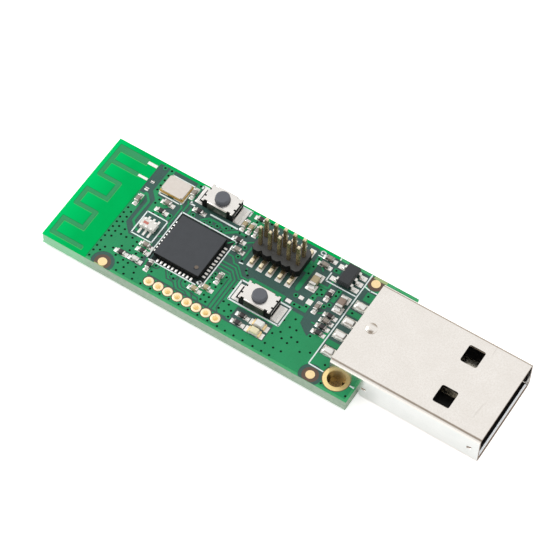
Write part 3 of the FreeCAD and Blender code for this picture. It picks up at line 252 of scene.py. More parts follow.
MATERIALS = {
    "pour": masked("mask_over_copper", shade(36, 146, 93), shade(30, 132, 83), shade(58, 160, 108), 0.2),
    "gap": masked("mask_over_laminate", shade(62, 94, 88), shade(54, 84, 78), shade(78, 108, 100), 0.2),
    # Painted shade: the darker mask round the chip stands for the chip's shadow over a window without
    # copper
    "dark": masked("mask_painted_chip_shade", shade(34, 42, 42), shade(28, 34, 34), shade(48, 60, 58), 0.15),
    "clear": see_through("mask_translucent", shade(0, 206, 108), shade(0, 174, 86),
                         shade(0, 190, 98)),
    "glow": masked("mask_slope_lit", shade(66, 186, 104), shade(56, 176, 96), shade(92, 200, 122),
                   0.1),
    "dusk": masked("mask_slope_dark", shade(6, 132, 70), shade(4, 122, 64), shade(20, 142, 78), 0.1),
    "strip": masked("mask_edge_strip", shade(62, 168, 108), shade(50, 158, 96), shade(96, 182, 128),
                    0.2),
    "trace": masked("mask_over_antenna", shade(50, 152, 96), shade(42, 144, 88),
                    shade(70, 162, 108), 0.15),
    "via": moulded("via_well", shade(4, 22, 14), shade(6, 36, 22), 0.5, 0.7, specular=0.1),
    "ring": moulded("bare_laminate", shade(92, 72, 62), shade(108, 88, 74), 0.5, 0.7),
    "tan": moulded("bare_laminate_edge", shade(168, 184, 128), shade(146, 172, 116), 0.5, 0.7),
    "edge": laminate_edge(),
    "ink": moulded("marking_ink", shade(244, 252, 252), shade(228, 242, 242), 0.5, 0.7, 0.08),
    "gold": metal("gold_plate", shade(254, 227, 174), shade(250, 218, 160), 0.26, 0.38, 0.2, 0.0006,
                  0.5),
    # Painted light: the bores' plating glows faintly, standing for light that comes up through them from
    # below the board
    "plated": metal("plated_hole_painted_light", shade(255, 250, 226), shade(255, 245, 210), 0.24, 0.36, 0.12,
                    0.0012, 0.1, (0.115, 0.07, 0.028)),
    "hole_gold": metal("hole_gold", shade(255, 240, 202), shade(253, 230, 184), 0.26, 0.38, 0.2,
                       0.0006, 0.5),
    "barrel": metal("plated_leg_hole", shade(248, 224, 160), shade(238, 208, 138), 0.26, 0.38, 0.3,
                    0.0004, 0.7),
    "pin": metal("pin_plate", shade(182, 164, 120), shade(126, 108, 74), 0.2, 0.32, 0.15, 0.002, 0.85),
    # Painted highlight: a pale gold for the pins' tops and the upward faces of their feet
    "tip": metal("pin_painted_highlight", shade(250, 236, 204), shade(238, 220, 180), 0.25, 0.4, 0.1, 0.002, 0.5),
    "tin": metal("tinned_copper", shade(248, 246, 242), shade(232, 229, 224), 0.3, 0.45, 0.1, 0.003,
                 0.45),
    "pad": metal("tinned_terminals", shade(252, 250, 247), shade(242, 240, 236), 0.3, 0.45, 0.1, 0.002,
                 0.1),
    "cap": metal("tinned_ends", shade(232, 229, 224), shade(196, 192, 186), 0.14, 0.28, 0.1, 0.004,
                 0.85),
    "solder": metal("solder", shade(246, 244, 240), shade(224, 221, 216), 0.14, 0.3, 0.25, 0.008,
                    0.75),
    "shell": steel(),
    "leg": metal("leg_solder", shade(186, 160, 116), shade(142, 116, 78), 0.16, 0.3, 0.3, 0.002,
                 0.85),
    # Painted shade: darker end caps beside tall parts
    "shaded_cap": metal("tinned_ends_painted_shade", shade(166, 162, 156), shade(112, 108, 104), 0.2, 0.35, 0.1,
                      0.004, 0.85),
    # Painted shade: a dark brown that stands for dark reflections on the plug's mouth edges and in its
    # side dimples
    "cut": metal("plug_steel_painted_shade", shade(128, 106, 86), shade(100, 82, 66), 0.3, 0.45, 0.1, 0.002,
                 0.6),
    # Painted reflection: a cooler, slightly darker copy of the plug steel for its outer sides
    "flank": metal("plug_steel_side_painted_reflection", shade(231, 233, 231), shade(224, 227, 225), 0.16, 0.26, 0.6,
                   0.0006),
    # Painted shade on the plug's inner floor further in from the mouth
    "deep": moulded("plug_inner_painted_shade", shade(16, 15, 15), shade(24, 22, 21), 0.5, 0.7, specular=0.1),
    # Painted light: a light colour and a faint emission on the plug's inner floor near the mouth
    "inside": metal("plug_steel_inside_painted_light", shade(252, 254, 255), shade(244, 248, 250), 0.25, 0.35,
                    0.4, 0.001, 0.0, (0.2, 0.22, 0.24)),
    "cover": metal("switch_steel", shade(238, 234, 229), shade(228, 224, 219), 0.2, 0.3, 0.4,
                   0.0004),
    # Painted shade on the steep sides of the switch covers
    "cover_side": metal("switch_steel_painted_shade", shade(120, 120, 112), shade(70, 80, 72), 0.25, 0.4, 0.3,
                        0.001, 0.9),
    "contact": metal("contact_metal", shade(232, 228, 216), shade(206, 202, 190), 0.15, 0.3, 0.1,
                     0.002),
    "epoxy": moulded("chip_epoxy", shade(62, 65, 69), shade(72, 75, 80), 0.42, 0.6, 0.05, 0.006, 0.3),
    "jet": moulded("regulator_epoxy", shade(52, 54, 57), shade(62, 64, 67), 0.42, 0.6, 0.06, 0.006,
                   0.3),
    "black": moulded("black_moulding", shade(66, 67, 67), shade(76, 77, 77), 0.4, 0.6, 0.06, 0.006),
    # Black for the switch bases and the pad lines; elsewhere painted shade: steep sides of the chip body
    # and header, the chip's terminals, the lands beside the chip and the dark switch bends
    "pitch": moulded("black_and_painted_shade", shade(14, 14, 15), shade(22, 22, 23), 0.5, 0.7, 0.06,
                     0.004, 0.15),
    "tongue": moulded("tongue_moulding", shade(14, 14, 16), shade(22, 22, 24), 0.35, 0.55),
    "slate": moulded("button_moulding", shade(92, 95, 102), shade(102, 105, 112), 0.5, 0.65),
    "lid": metal("crystal_lid", shade(222, 214, 206), shade(212, 203, 194), 0.28, 0.42, 0.15,
                 0.0015),
    "lid_rim": metal("crystal_lid_rim", shade(240, 233, 224), shade(228, 220, 208), 0.25, 0.4, 0.15,
                     0.0015, 0.7),
    "rim": metal("crystal_rim", shade(236, 202, 120), shade(206, 172, 98), 0.24, 0.4, 0.1, 0.003,
                 0.7),
    "dark_rim": moulded("crystal_base", shade(196, 158, 84), shade(212, 176, 100)),
    "brown_body": moulded("brown_ceramic", shade(152, 134, 122), shade(134, 116, 104), 0.35, 0.5, 0.08,
                          0.006),
    "white": moulded("white_ceramic", shade(228, 226, 221), shade(214, 211, 205), 0.35, 0.5, 0.08,
                     0.006),
    "grey": moulded("grey_ceramic", shade(158, 150, 140), shade(138, 130, 120), 0.35, 0.5, 0.08,
                    0.006),
    "tan_body": moulded("tan_ceramic", shade(186, 172, 138), shade(168, 154, 118), 0.35, 0.5, 0.08,
                        0.006),
    "dark_body": moulded("dark_ceramic", shade(48, 45, 47), shade(70, 62, 61), 0.3, 0.45, 0.08,
                         0.006),
    "dot": moulded("chip_mark", shade(104, 94, 84), shade(116, 104, 92), 0.5, 0.65, 0.05, 0.004),
    "mark": moulded("red_mark", shade(200, 122, 108), shade(188, 106, 94), 0.4, 0.6, 0.08, 0.006),
    "lens": moulded("clear_lens", shade(230, 230, 226), shade(238, 238, 234), 0.12, 0.25, 0.1, 0.002),
    "amber": moulded("amber_lens", shade(226, 218, 178), shade(236, 230, 198), 0.12, 0.25, 0.1, 0.002),
    "paper": paper(),
}


# Meshes


def new_piece(name, material, mesh=None, body="root"):
    """An object of the part that rides on a body and takes its finish from a slot."""
    mesh = mesh or bpy.data.meshes.new(name)
    piece = bpy.data.objects.new(name, mesh)
    bpy.context.scene.collection.objects.link(piece)
    materials = material if isinstance(material, (list, tuple)) else [material]
    for key in materials:
        mesh.materials.append(MATERIALS[key])
    even = piece.modifiers.new("even_normals", "WEIGHTED_NORMAL")
    even.keep_sharp = True
    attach(piece, body)
    return piece


def smooth(mesh, angle=38):
    mesh.shade_smooth()
    mesh.set_sharp_from_angle(angle=math.radians(angle))


def build_mesh(name, bm, angle=38):
    """Writes a mesh made in millimetres of the row frame."""
    bmesh.ops.recalc_face_normals(bm, faces=bm.faces[:])
    mesh = bpy.data.meshes.new(name)
    bm.to_mesh(mesh)
    bm.free()
    mesh.transform(Matrix.Scale(MM, 4))
    smooth(mesh, angle)
    return mesh


def solid_of(node):
    """The node's solids in millimetres, with their flat faces whole again."""
    bm = bmesh.new()
    bm.from_mesh(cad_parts[node].data)
    bmesh.ops.transform(bm, matrix=Matrix.Scale(1 / MM, 4), verts=bm.verts[:])
    bmesh.ops.remove_doubles(bm, verts=bm.verts[:], dist=0.0008)
    bmesh.ops.dissolve_limit(bm, angle_limit=math.radians(1.0), verts=bm.verts[:],
                             edges=bm.edges[:])
    return bm


def rounded(node, material, width, segments=2, body="root", angle=32, corner=0,
            cut=None):
    """The node's own shape with its sharp edges rounded, upright corners more, in its place.

    Cut, a point and a direction, divides the faces there without a change of shape.
    """
    bm = solid_of(node)
    if cut:
        bmesh.ops.bisect_plane(bm, geom=bm.verts[:] + bm.edges[:] + bm.faces[:], dist=1e-5,
                               plane_co=cut[0] / MM, plane_no=cut[1])
    if corner:
        upright = [edge for edge in bm.edges
                   if (edge.verts[0].co - edge.verts[1].co).xy.length < 0.01]
        bmesh.ops.bevel(bm, geom=upright, offset=corner, offset_type="OFFSET", segments=5,
                        profile=0.5, affect="EDGES")
    sharp = [edge for edge in bm.edges
             if len(edge.link_faces) == 2 and edge.calc_face_angle(0) > math.radians(angle)]
    bmesh.ops.bevel(bm, geom=sharp, offset=width, offset_type="OFFSET", segments=segments,
                    profile=0.5, affect="EDGES", clamp_overlap=True)
    piece = new_piece(node + "_dressed", material, build_mesh(node, bm), body)
    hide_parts(node)
    return piece


def steep(piece, limit=0.5):
    """Gives the steep faces of a piece its second material."""
    for face in piece.data.polygons:
        if abs(face.normal.z) < limit:
            face.material_index = 1


def finish_node(node, material):
    """Gives a node that keeps its own mesh its material."""
    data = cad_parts[node].data
    data.materials.clear()
    data.materials.append(MATERIALS[material])


def islands(node):
    """Box of each solid of a node, as board places, in the order of their places."""
    bm = bmesh.new()
    bm.from_mesh(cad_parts[node].data)
    bmesh.ops.remove_doubles(bm, verts=bm.verts[:], dist=0.0008 * MM)
    waiting = set(bm.verts)
    found = []
    while waiting:
        front = [waiting.pop()]
        group = []
        while front:
            vert = front.pop()
            group.append(vert.co.copy())
            for edge in vert.link_edges:
                other = edge.other_vert(vert)
                if other in waiting:
                    waiting.remove(other)
                    front.append(other)
        low = Vector([min(co[axis] for co in group) for axis in range(3)])
        high = Vector([max(co[axis] for co in group) for axis in range(3)])
        found.append(box_mm(low, high))
    bm.free()
    return sorted(found, key=lambda box: tuple(box[0]))


def height_field(bm, spots, columns, rows, base):
    """Closed patch: a grid of points over a flat floor. spots(u, v) gives a board place."""
    top = [[bm.verts.new(at(*spots(u / columns, v / rows)) / MM) for v in range(rows + 1)]
           for u in range(columns + 1)]
    for u in range(columns):
        for v in range(rows):
            bm.faces.new((top[u][v], top[u + 1][v], top[u + 1][v + 1], top[u][v + 1]))
    rim = [top[u][0] for u in range(columns + 1)]
    rim += [top[columns][v] for v in range(1, rows + 1)]
    rim += [top[u][rows] for u in range(columns - 1, -1, -1)]
    rim += [top[0][v] for v in range(rows - 1, 0, -1)]
    floor = at(0, 0, base).z / MM
    low = [bm.verts.new((vert.co.x, vert.co.y, floor)) for vert in rim]
    count = len(rim)
    for place in range(count):
        after = (place + 1) % count
        bm.faces.new((rim[place], low[place], low[after], rim[after]))
    bm.faces.new(low)


# Board artwork: later shapes cover earlier ones


def rectangle(x1, y1, x2, y2):
    return [(x1, y1), (x2, y1), (x2, y2), (x1, y2)]


def disc(x, y, radius, sides=20):
    turn = 2 * math.pi / sides
    return [(x + radius * math.cos(turn * k), y + radius * math.sin(turn * k))
            for k in range(sides)]


def stroke(points, width, closed=False):
    """Outline pieces of a line of that width: one four-sided piece a run, with round joints."""
    shapes = []
    ends = list(zip(points, points[1:] + points[:1])) if closed else list(zip(points, points[1:]))
    for (x1, y1), (x2, y2) in ends:
        length = math.hypot(x2 - x1, y2 - y1)
        across = (-(y2 - y1) / length * width / 2, (x2 - x1) / length * width / 2)
        shapes.append([(x1 - across[0], y1 - across[1]), (x2 - across[0], y2 - across[1]),
                       (x2 + across[0], y2 + across[1]), (x1 + across[0], y1 + across[1])])
    joints = points if closed else points[1:-1]
    shapes += [disc(x, y, width / 2, 8) for x, y in joints]
    return shapes


ZONE = 6.05
STRIP = 0.36
TRACE = 0.26
GAP = 0.17

SLATE_AREAS = (
    [(6.1, 15.75), (7.45, 15.75), (7.45, 12.0), (8.35, 11.1), (8.35, 9.3), (8.45, 9.3),
     (8.45, 5.75), (9.5, 5.7), (9.35, 5.5), (8.35, 5.5), (7.2, 6.75), (7.2, 10.3), (7.0, 11.15),
     (6.1, 11.15)],
    [(8.15, 15.75), (11.3, 15.75), (11.4, 13.3), (12.95, 13.2), (12.95, 11.4), (11.95, 11.3),
     (11.9, 5.0), (11.35, 5.9), (11.35, 9.2), (10.7, 9.5), (9.9, 9.9), (9.9, 10.7), (10.4, 11.1),
     (8.7, 11.75), (8.15, 11.75), (8.1, 12.1)],
    [(12.0, 4.9), (12.0, 3.9), (12.15, 3.2), (12.15, 2.5), (11.6, 2.45), (8.9, 2.55), (8.9, 3.3),
     (11.6, 3.35), (11.6, 4.2)],
    [(12.95, 15.7), (18.6, 15.7), (18.6, 13.2), (21.3, 13.1), (21.3, 12.9), (22.3, 12.7),
     (22.3, 12.2), (28.4, 12.2), (28.4, 9.5), (28.3, 8.2), (23.6, 8.2), (22.9, 7.0), (22.5, 7.0),
     (22.3, 6.6), (21.3, 7.0), (19.5, 7.1), (19.5, 11.35), (12.95, 11.35)],
    [(20.6, 15.75), (20.9, 15.2), (21.2, 14.0), (28.4, 13.9), (28.4, 15.4), (28.0, 15.75)],
    [(28.4, 15.75), (35.0, 15.75), (35.0, 7.0), (32.9, 5.0), (32.3, 5.4), (31.4, 6.1),
     (31.3, 7.0), (29.7, 7.0), (29.7, 7.3), (28.2, 7.4), (28.2, 9.5), (28.4, 9.5)],
    [(35.1, 14.0), (36.9, 14.0), (36.9, 3.9), (35.1, 3.9)],
    [(24.35, 4.1), (29.1, 4.1), (29.1, 1.65), (23.35, 1.65), (24.3, 2.8)],
    [(13.35, 1.9), (13.35, 2.15), (24.2, 2.15), (24.2, 1.9)],
    [(19.45, 7.1), (20.1, 7.1), (20.1, 5.35), (19.45, 5.35)],
)
GREEN_AREAS = (
    [(7.45, 15.75), (8.15, 15.75), (8.15, 12.15), (8.25, 11.75), (8.65, 11.75), (9.2, 11.55),
     (9.3, 11.1), (10.0, 11.05), (10.0, 10.8), (8.9, 10.7), (8.4, 10.6), (8.35, 11.1),
     (7.45, 12.0)],
    [(8.5, 9.35), (10.15, 9.35), (10.15, 9.85), (9.6, 9.95), (8.5, 9.85)],
    [(10.85, 9.45), (11.2, 9.45), (11.3, 10.2), (10.8, 10.4)],
    rectangle(28.45, 9.75, 29.0, 14.9), disc(28.725, 9.8, 0.275), disc(28.725, 14.85, 0.275),
    [(30.75, 11.45), (31.7, 11.45), (31.75, 10.45), (31.2, 10.2), (31.2, 8.6), (31.2, 7.5),
     (29.2, 7.5), (29.2, 8.05), (30.6, 8.1), (30.6, 10.0), (30.75, 10.3)],
    rectangle(30.9, 14.05, 31.75, 14.55), rectangle(32.7, 10.4, 33.25, 12.3),
    rectangle(35.75, 12.55, 36.9, 13.8), rectangle(35.15, 10.0, 36.9, 10.75),
    rectangle(35.2, 5.35, 36.9, 6.05),
)
# Bare of copper inside the ink outlines of the balun and the two switches, and round the chip, where the
# darker mask is also painted shade from the chip's body
PACKAGE_WINDOWS = (rectangle(8.58, 5.93, 11.22, 9.22), rectangle(12.15, 13.2, 18.75, 15.8),
                   rectangle(22.9, 4.43, 29.47, 7.22))
SHADED_CHIP_WINDOW = rectangle(12.03, 3.93, 19.34, 11.29)
GREEN_LINES = (
    (0.3, [(6.75, 11.3), (7.1, 11.3), (7.85, 10.5), (7.8, 7.35), (8.7, 6.5), (9.1, 6.45)]),
    (0.2, [(10.85, 12.05), (11.3, 12.15), (11.55, 11.85), (11.55, 9.0), (12.0, 8.3)]),
    (0.2, [(11.65, 13.1), (11.95, 12.7), (11.95, 11.4)]),
    (0.28, [(12.62, 12.5), (12.68, 11.4)]),
    (0.2, [(11.4, 7.0), (11.9, 7.3)]),
    (0.26, [(14.3, 11.6), (15.05, 12.35), (16.65, 12.4), (17.05, 12.1), (17.3, 12.2)]),
    (0.34, [(17.6, 11.6), (18.7, 12.5), (19.15, 12.6), (20.0, 12.6)]),
    (0.2, [(20.5, 11.85), (21.3, 12.45)]),
    (0.24, [(21.4, 11.7), (21.4, 9.6)]),
    (0.16, [(18.7, 10.65), (19.2, 11.25)]),
    (0.2, [(19.5, 9.45), (20.2, 9.45), (20.8, 8.75), (21.4, 8.7), (22.5, 7.65), (23.4, 7.65)]),
    (0.2, [(19.5, 8.3), (21.3, 8.3), (22.45, 7.2), (22.9, 7.2)]),
    (0.2, [(19.5, 7.8), (21.2, 7.8), (22.15, 6.85), (22.15, 2.3)]),
    (0.2, [(19.5, 7.3), (21.15, 7.3), (21.7, 6.7), (21.7, 2.2)]),
    (0.22, [(22.5, 9.0), (22.5, 8.6), (23.0, 8.2)]),
    (0.3, [(30.5, 11.7), (31.65, 11.7)]), (0.26, [(31.65, 11.7), (31.65, 13.1)]),
    (0.18, [(33.2, 8.6), (32.8, 8.55), (32.4, 8.25)]),
    (0.2, [(29.6, 13.8), (30.0, 13.4)]),
    (0.2, [(32.4, 6.85), (33.1, 6.85)]),
)
GAP_LINES = (
    [(14.75, 3.7), (15.45, 2.75), (16.3, 2.8), (16.95, 2.15)],
    [(15.15, 3.7), (15.7, 3.1), (16.0, 2.95), (16.35, 3.15), (16.4, 3.7)],
    [(16.6, 3.7), (16.65, 3.1), (17.25, 2.4), (18.2, 2.4), (18.6, 2.1)],
    [(17.05, 3.7), (17.1, 3.15), (17.55, 2.75), (18.75, 2.72), (19.05, 2.45), (19.3, 2.1)],
    [(17.75, 3.2), (18.0, 3.05), (18.3, 3.05)],
    [(18.9, 2.75), (19.25, 2.55), (19.8, 2.55), (20.15, 2.1)],
    [(21.45, 6.8), (21.45, 2.1)],
    [(21.93, 6.8), (21.93, 2.1)],
    [(22.35, 6.8), (22.35, 2.6), (22.75, 2.1)],
    [(13.2, 3.2), (13.75, 3.2), (13.95, 3.5), (13.95, 3.75)],
    [(12.35, 4.9), (12.4, 3.2)],
    [(34.95, 3.9), (35.1, 3.9)],
)
VIAS = (
    (6.3, 8.5), (6.95, 8.15), (6.25, 7.65), (6.9, 7.3), (6.25, 6.9), (6.9, 6.5), (6.3, 6.15),
    (6.9, 5.75), (7.7, 5.75), (6.3, 5.35), (6.9, 4.95), (7.7, 4.95), (8.45, 4.95), (9.1, 5.25),
    (9.85, 5.05), (6.25, 4.6), (6.9, 4.15), (9.8, 4.35), (6.25, 3.8), (8.7, 3.65), (9.8, 3.65),
    (10.65, 3.65), (11.5, 3.6), (6.25, 3.0), (8.0, 2.9), (7.15, 2.5), (6.25, 2.2), (6.9, 1.85),
    (8.8, 2.25), (9.9, 2.15), (10.6, 2.1), (11.65, 2.15), (6.25, 1.45), (9.6, 1.5), (10.5, 1.35),
    (11.9, 1.35), (6.25, 0.6), (10.0, 0.55), (11.0, 0.6), (12.2, 0.57), (13.35, 0.57),
    (14.65, 0.6), (15.95, 0.6), (17.2, 0.6), (18.55, 0.6), (19.8, 0.6), (21.1, 0.6), (22.45, 0.6),
    (23.77, 0.57), (24.85, 0.55), (26.0, 0.55), (27.2, 0.57), (28.55, 0.55), (29.7, 0.55),
    (30.75, 0.57), (13.5, 3.55), (13.5, 2.6), (16.1, 3.2), (17.5, 3.55), (20.25, 3.25),
    (20.9, 3.3), (20.25, 2.55), (20.9, 2.55), (20.0, 4.85), (20.8, 4.85), (21.1, 5.6),
    (22.6, 5.8), (22.6, 3.75), (22.6, 2.7), (23.35, 3.7), (23.35, 2.7), (24.0, 3.15),
    (7.75, 15.55), (7.75, 14.8), (7.75, 14.0), (7.75, 13.15), (7.75, 12.45), (8.75, 11.4),
    (8.6, 10.75), (9.15, 9.42), (9.85, 9.42), (11.8, 15.6), (12.65, 12.55), (19.1, 12.58),
    (20.0, 12.58), (20.0, 14.95), (21.6, 15.65), (19.7, 11.2), (21.4, 9.5), (22.5, 8.65),
    (23.0, 8.2), (28.7, 14.6), (28.7, 13.35), (28.7, 12.25), (31.2, 14.3), (31.1, 11.15),
    (31.5, 10.65), (31.0, 10.4), (30.85, 9.7), (30.85, 8.3), (29.55, 7.8), (30.25, 7.8),
    (30.75, 6.2), (32.95, 12.0), (32.95, 11.35), (36.1, 13.3), (35.7, 10.4), (29.7, 5.4),
    (31.6, 5.0), (30.75, 4.95), (29.5, 3.2), (30.75, 3.2), (30.2, 3.85), (32.5, 3.75),
    (33.4, 2.8), (34.45, 3.35), (36.7, 2.9), (31.6, 1.7), (30.6, 1.65), (29.5, 1.65),
    (31.6, 3.9), (31.6, 3.0), (40.7, 0.71), (37.54, 0.65),
)
RINGED_VIAS = (
    (6.85, 15.5), (11.05, 10.15), (15.6, 3.55), (13.2, 11.75), (15.4, 11.95), (16.4, 11.97),
    (14.9, 11.5), (15.9, 11.5), (17.45, 12.25), (17.2, 11.62), (18.0, 12.65), (20.7, 11.2),
    (20.7, 9.75), (19.8, 6.35), (21.15, 6.65), (19.8, 5.7), (29.05, 8.97), (32.95, 9.9),
    (32.55, 9.4), (33.3, 5.2), (24.15, 2.3),
)
INK_LINES = (
    (0.16, [(8.2, 12.1), (8.2, 15.15), (11.3, 15.15), (11.3, 12.3), (11.05, 12.1), (8.2, 12.1)]),
    (0.15, [(11.95, 4.0), (11.95, 11.37), (19.5, 11.37), (19.5, 11.15)]),
    (0.15, [(12.2, 3.85), (18.7, 3.85)]), (0.15, [(19.42, 4.6), (19.42, 10.1)]),
    (0.4, [(18.72, 4.1), (18.95, 4.42), (19.2, 4.3)]),
    (0.15, [(8.5, 9.0), (8.5, 9.3), (11.3, 9.3), (11.3, 5.85), (8.5, 5.85), (8.5, 9.0)]),
    (0.2, [(12.1, 15.4), (12.1, 15.85), (12.95, 15.85)]),
    (0.2, [(12.1, 13.25), (12.1, 12.92), (12.7, 12.92)]), (0.2, [(14.85, 12.9), (18.65, 12.9)]),
    (0.2, [(17.4, 15.85), (18.8, 15.85), (18.8, 15.1)]),
    (0.2, [(23.75, 7.32), (22.82, 7.32), (22.82, 4.35), (29.55, 4.35), (29.55, 7.2),
           (28.0, 7.2)]),
    (0.15, [(30.88, 13.8), (30.88, 12.52), (34.9, 12.52)]),
    (0.15, [(35.02, 2.1), (35.02, 16.1)]), (0.15, [(35.02, 2.1), (37.0, 2.05)]),
    (0.15, [(35.1, 14.25), (35.9, 14.05), (36.8, 14.1)]),
    (0.15, [(30.85, 15.75), (30.85, 16.1)]),
    (0.14, [(41.0, 2.05), (40.4, 2.1)]),
    (0.13, [(21.2, 9.15), (21.75, 9.22)]),
    (0.13, [(28.35, 15.0), (29.05, 15.0)]),
    (0.13, [(28.5, 15.35), (28.85, 15.3), (29.05, 15.5), (28.95, 15.75), (28.6, 15.8),
            (28.4, 15.6), (28.5, 15.35)]),
)

WIRE_HOLES = [((low.x + high.x) / 2, (low.y + high.y) / 2) for low, high in
              islands("io_hole_linings")]
WIRE_RING = max((high.x - low.x) / 2 for low, high in islands("io_hole_linings"))
LEG_HOLES = [((low.x + high.x) / 2, (low.y + high.y) / 2) for low, high in
             islands("shell_hole_linings")]
LEG_RING = max((high.x - low.x) / 2 for low, high in islands("shell_hole_linings"))
FIDUCIALS = [((low.x + high.x) / 2, (low.y + high.y) / 2) for low, high in
             islands("fiducial_marks")]

WIRE_BORE = WIRE_RING - 0.2
LEG_BORE = LEG_RING - 0.46

# Height above the board of each kind of surface, in millimetres
HEIGHTS = {"pour": 0.04, "strip": 0.014, "clear": 0.014, "glow": 0.014, "dusk": 0.014,
           "gap": 0.014, "dark": 0.014, "via": 0.004, "ring": 0.006, "tan": 0.006, "gold": 0.03,
           "bare": 0.0}


def antenna_slopes():
    """The lit and the shaded slope of the mask beside the buried antenna line."""
    bm = bmesh.new()
    bm.from_mesh(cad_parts["antenna_trace"].data)
    tops = []
    for face in bm.faces:
        if face.normal.z > 0.9:
            places = [box_mm(vert.co, vert.co)[0] for vert in face.verts]
            tops.append([(place.x, place.y) for place in places])
    bm.free()
    shapes = []
    for kind, x, y in (("dusk", -0.07, 0.08), ("glow", 0.1, -0.11)):
        shapes += [(kind, [(a + x, b + y) for a, b in outline]) for outline in tops]
    return shapes


def top_shapes():
    """Painter's list of the component side: (kind, outline)."""
    inset = 0.02
    far = BOARD_WIDTH - inset
    end = BOARD_LENGTH - inset
    shapes = [("pour", rectangle(ZONE, STRIP, end, BOARD_WIDTH - 0.4)),
              ("clear", rectangle(inset, inset, ZONE, far)),
              ("clear", rectangle(ZONE, BOARD_WIDTH - 0.4, 31, far)),
              ("strip", rectangle(31, BOARD_WIDTH - 0.4, end, far)),
              ("strip", rectangle(ZONE, inset, end, STRIP)),
              ("strip", rectangle(BOARD_LENGTH - STRIP, inset, end, BOARD_WIDTH - 0.4))]
    shapes += antenna_slopes()
    # Painted shade: a dark line along the antenna-side edge of the copper pour
    shapes.append(("dusk", rectangle(ZONE - 0.09, 0.3, ZONE, 11.2)))
    shapes += [("gap", area) for area in SLATE_AREAS]
    shapes += [("pour", area) for area in GREEN_AREAS]
    shapes += [("gap", area) for area in PACKAGE_WINDOWS]
    # Painted shade round the chip
    shapes.append(("dark", SHADED_CHIP_WINDOW))
    for width, points in GREEN_LINES:
        shapes += [("pour", piece) for piece in stroke(points, width)]
    for points in GAP_LINES:
        shapes += [("gap", piece) for piece in stroke(points, GAP)]
    for x, y in FIDUCIALS:
        reach = 1.42 if y < BOARD_WIDTH / 2 else 1.05
        shapes.append(("gap", clipped(disc(x, y, reach, 32))))
        shapes.append(("ring", clipped(disc(x, y, 1.0, 32))))
        if y < 0.8:
            shapes.append(("tan", rectangle(x - 0.8, inset, x + 0.5, 0.16)))
        elif y > BOARD_WIDTH / 2:
            shapes.append(("tan", rectangle(x - 0.6, BOARD_WIDTH - 0.42, x + 1.1, far)))
    for x, y in WIRE_HOLES:
        shapes.append(("ring", disc(x, y, WIRE_RING + 0.09, 28)))
    for x, y in LEG_HOLES:
        shapes.append(("ring", disc(x, y, LEG_RING + 0.08, 32)))
    for x, y in RINGED_VIAS:
        shapes.append(("pour", disc(x, y, 0.3, 12)))
    shapes += [("via", disc(x, y, 0.15, 10)) for x, y in VIAS + RINGED_VIAS]
    shapes += [("bare", disc(x, y, WIRE_RING - 0.02, 28)) for x, y in WIRE_HOLES]
    shapes += [("bare", disc(x, y, LEG_RING - 0.02, 32)) for x, y in LEG_HOLES]
    return shapes


def area_of(points):
    """Area inside an outline, negative where it runs clockwise."""
    pairs = zip(points, points[1:] + points[:1])
    return sum(x1 * y2 - x2 * y1 for (x1, y1), (x2, y2) in pairs) / 2


def clipped(points, inset=0.05):
    """The outline kept within the board."""
    return [(min(max(x, inset), BOARD_LENGTH - inset), min(max(y, inset), BOARD_WIDTH - inset))
            for x, y in points]


def artwork(name, shapes, keys, up=1):
    """Thin relief of flat regions, each a shape's kind, on the board's top or underside."""
    points, faces = [], []
    for kind, outline in shapes:
        order = list(range(len(points), len(points) + len(outline)))
        faces.append(order if area_of(outline) > 0 else order[::-1])
        points += [Vector(point) for point in outline]
    flat, edges, tris, _, _, owners = delaunay_2d_cdt(points, [], faces, 1, 1e-4)
    bm = bmesh.new()
    layers = {}
    sides = {}

    def vertex(index, level):
        if (index, level) not in layers:
            x, y = flat[index]
            z = level if up > 0 else -BOARD_THICKNESS - level
            layers[(index, level)] = bm.verts.new(at(x, y, z) / MM)
        return layers[(index, level)]

    for tri, owner in zip(tris, owners):
        kind = shapes[max(owner)][0]
        if kind == "bare":
            continue
        level = HEIGHTS[kind]
        face = bm.faces.new([vertex(index, level) for index in tri])
        face.material_index = keys.index(kind)
        for start, end in zip(tri, tri[1:] + tri[:1]):
            sides.setdefault((min(start, end), max(start, end)), []).append((level, kind))
    for (start, end), found in sides.items():
        if len(found) == 1:
            found = found + [(0.0, found[0][1])]
        (low, _), (high, kind) = sorted(found)
        if high > low:
            corners = [vertex(start, low), vertex(end, low), vertex(end, high),
                       vertex(start, high)]
            face = bm.faces.new(corners)
            face.material_index = keys.index(kind)
    mesh = build_mesh(name, bm, 30)
    return new_piece(name, keys, mesh)


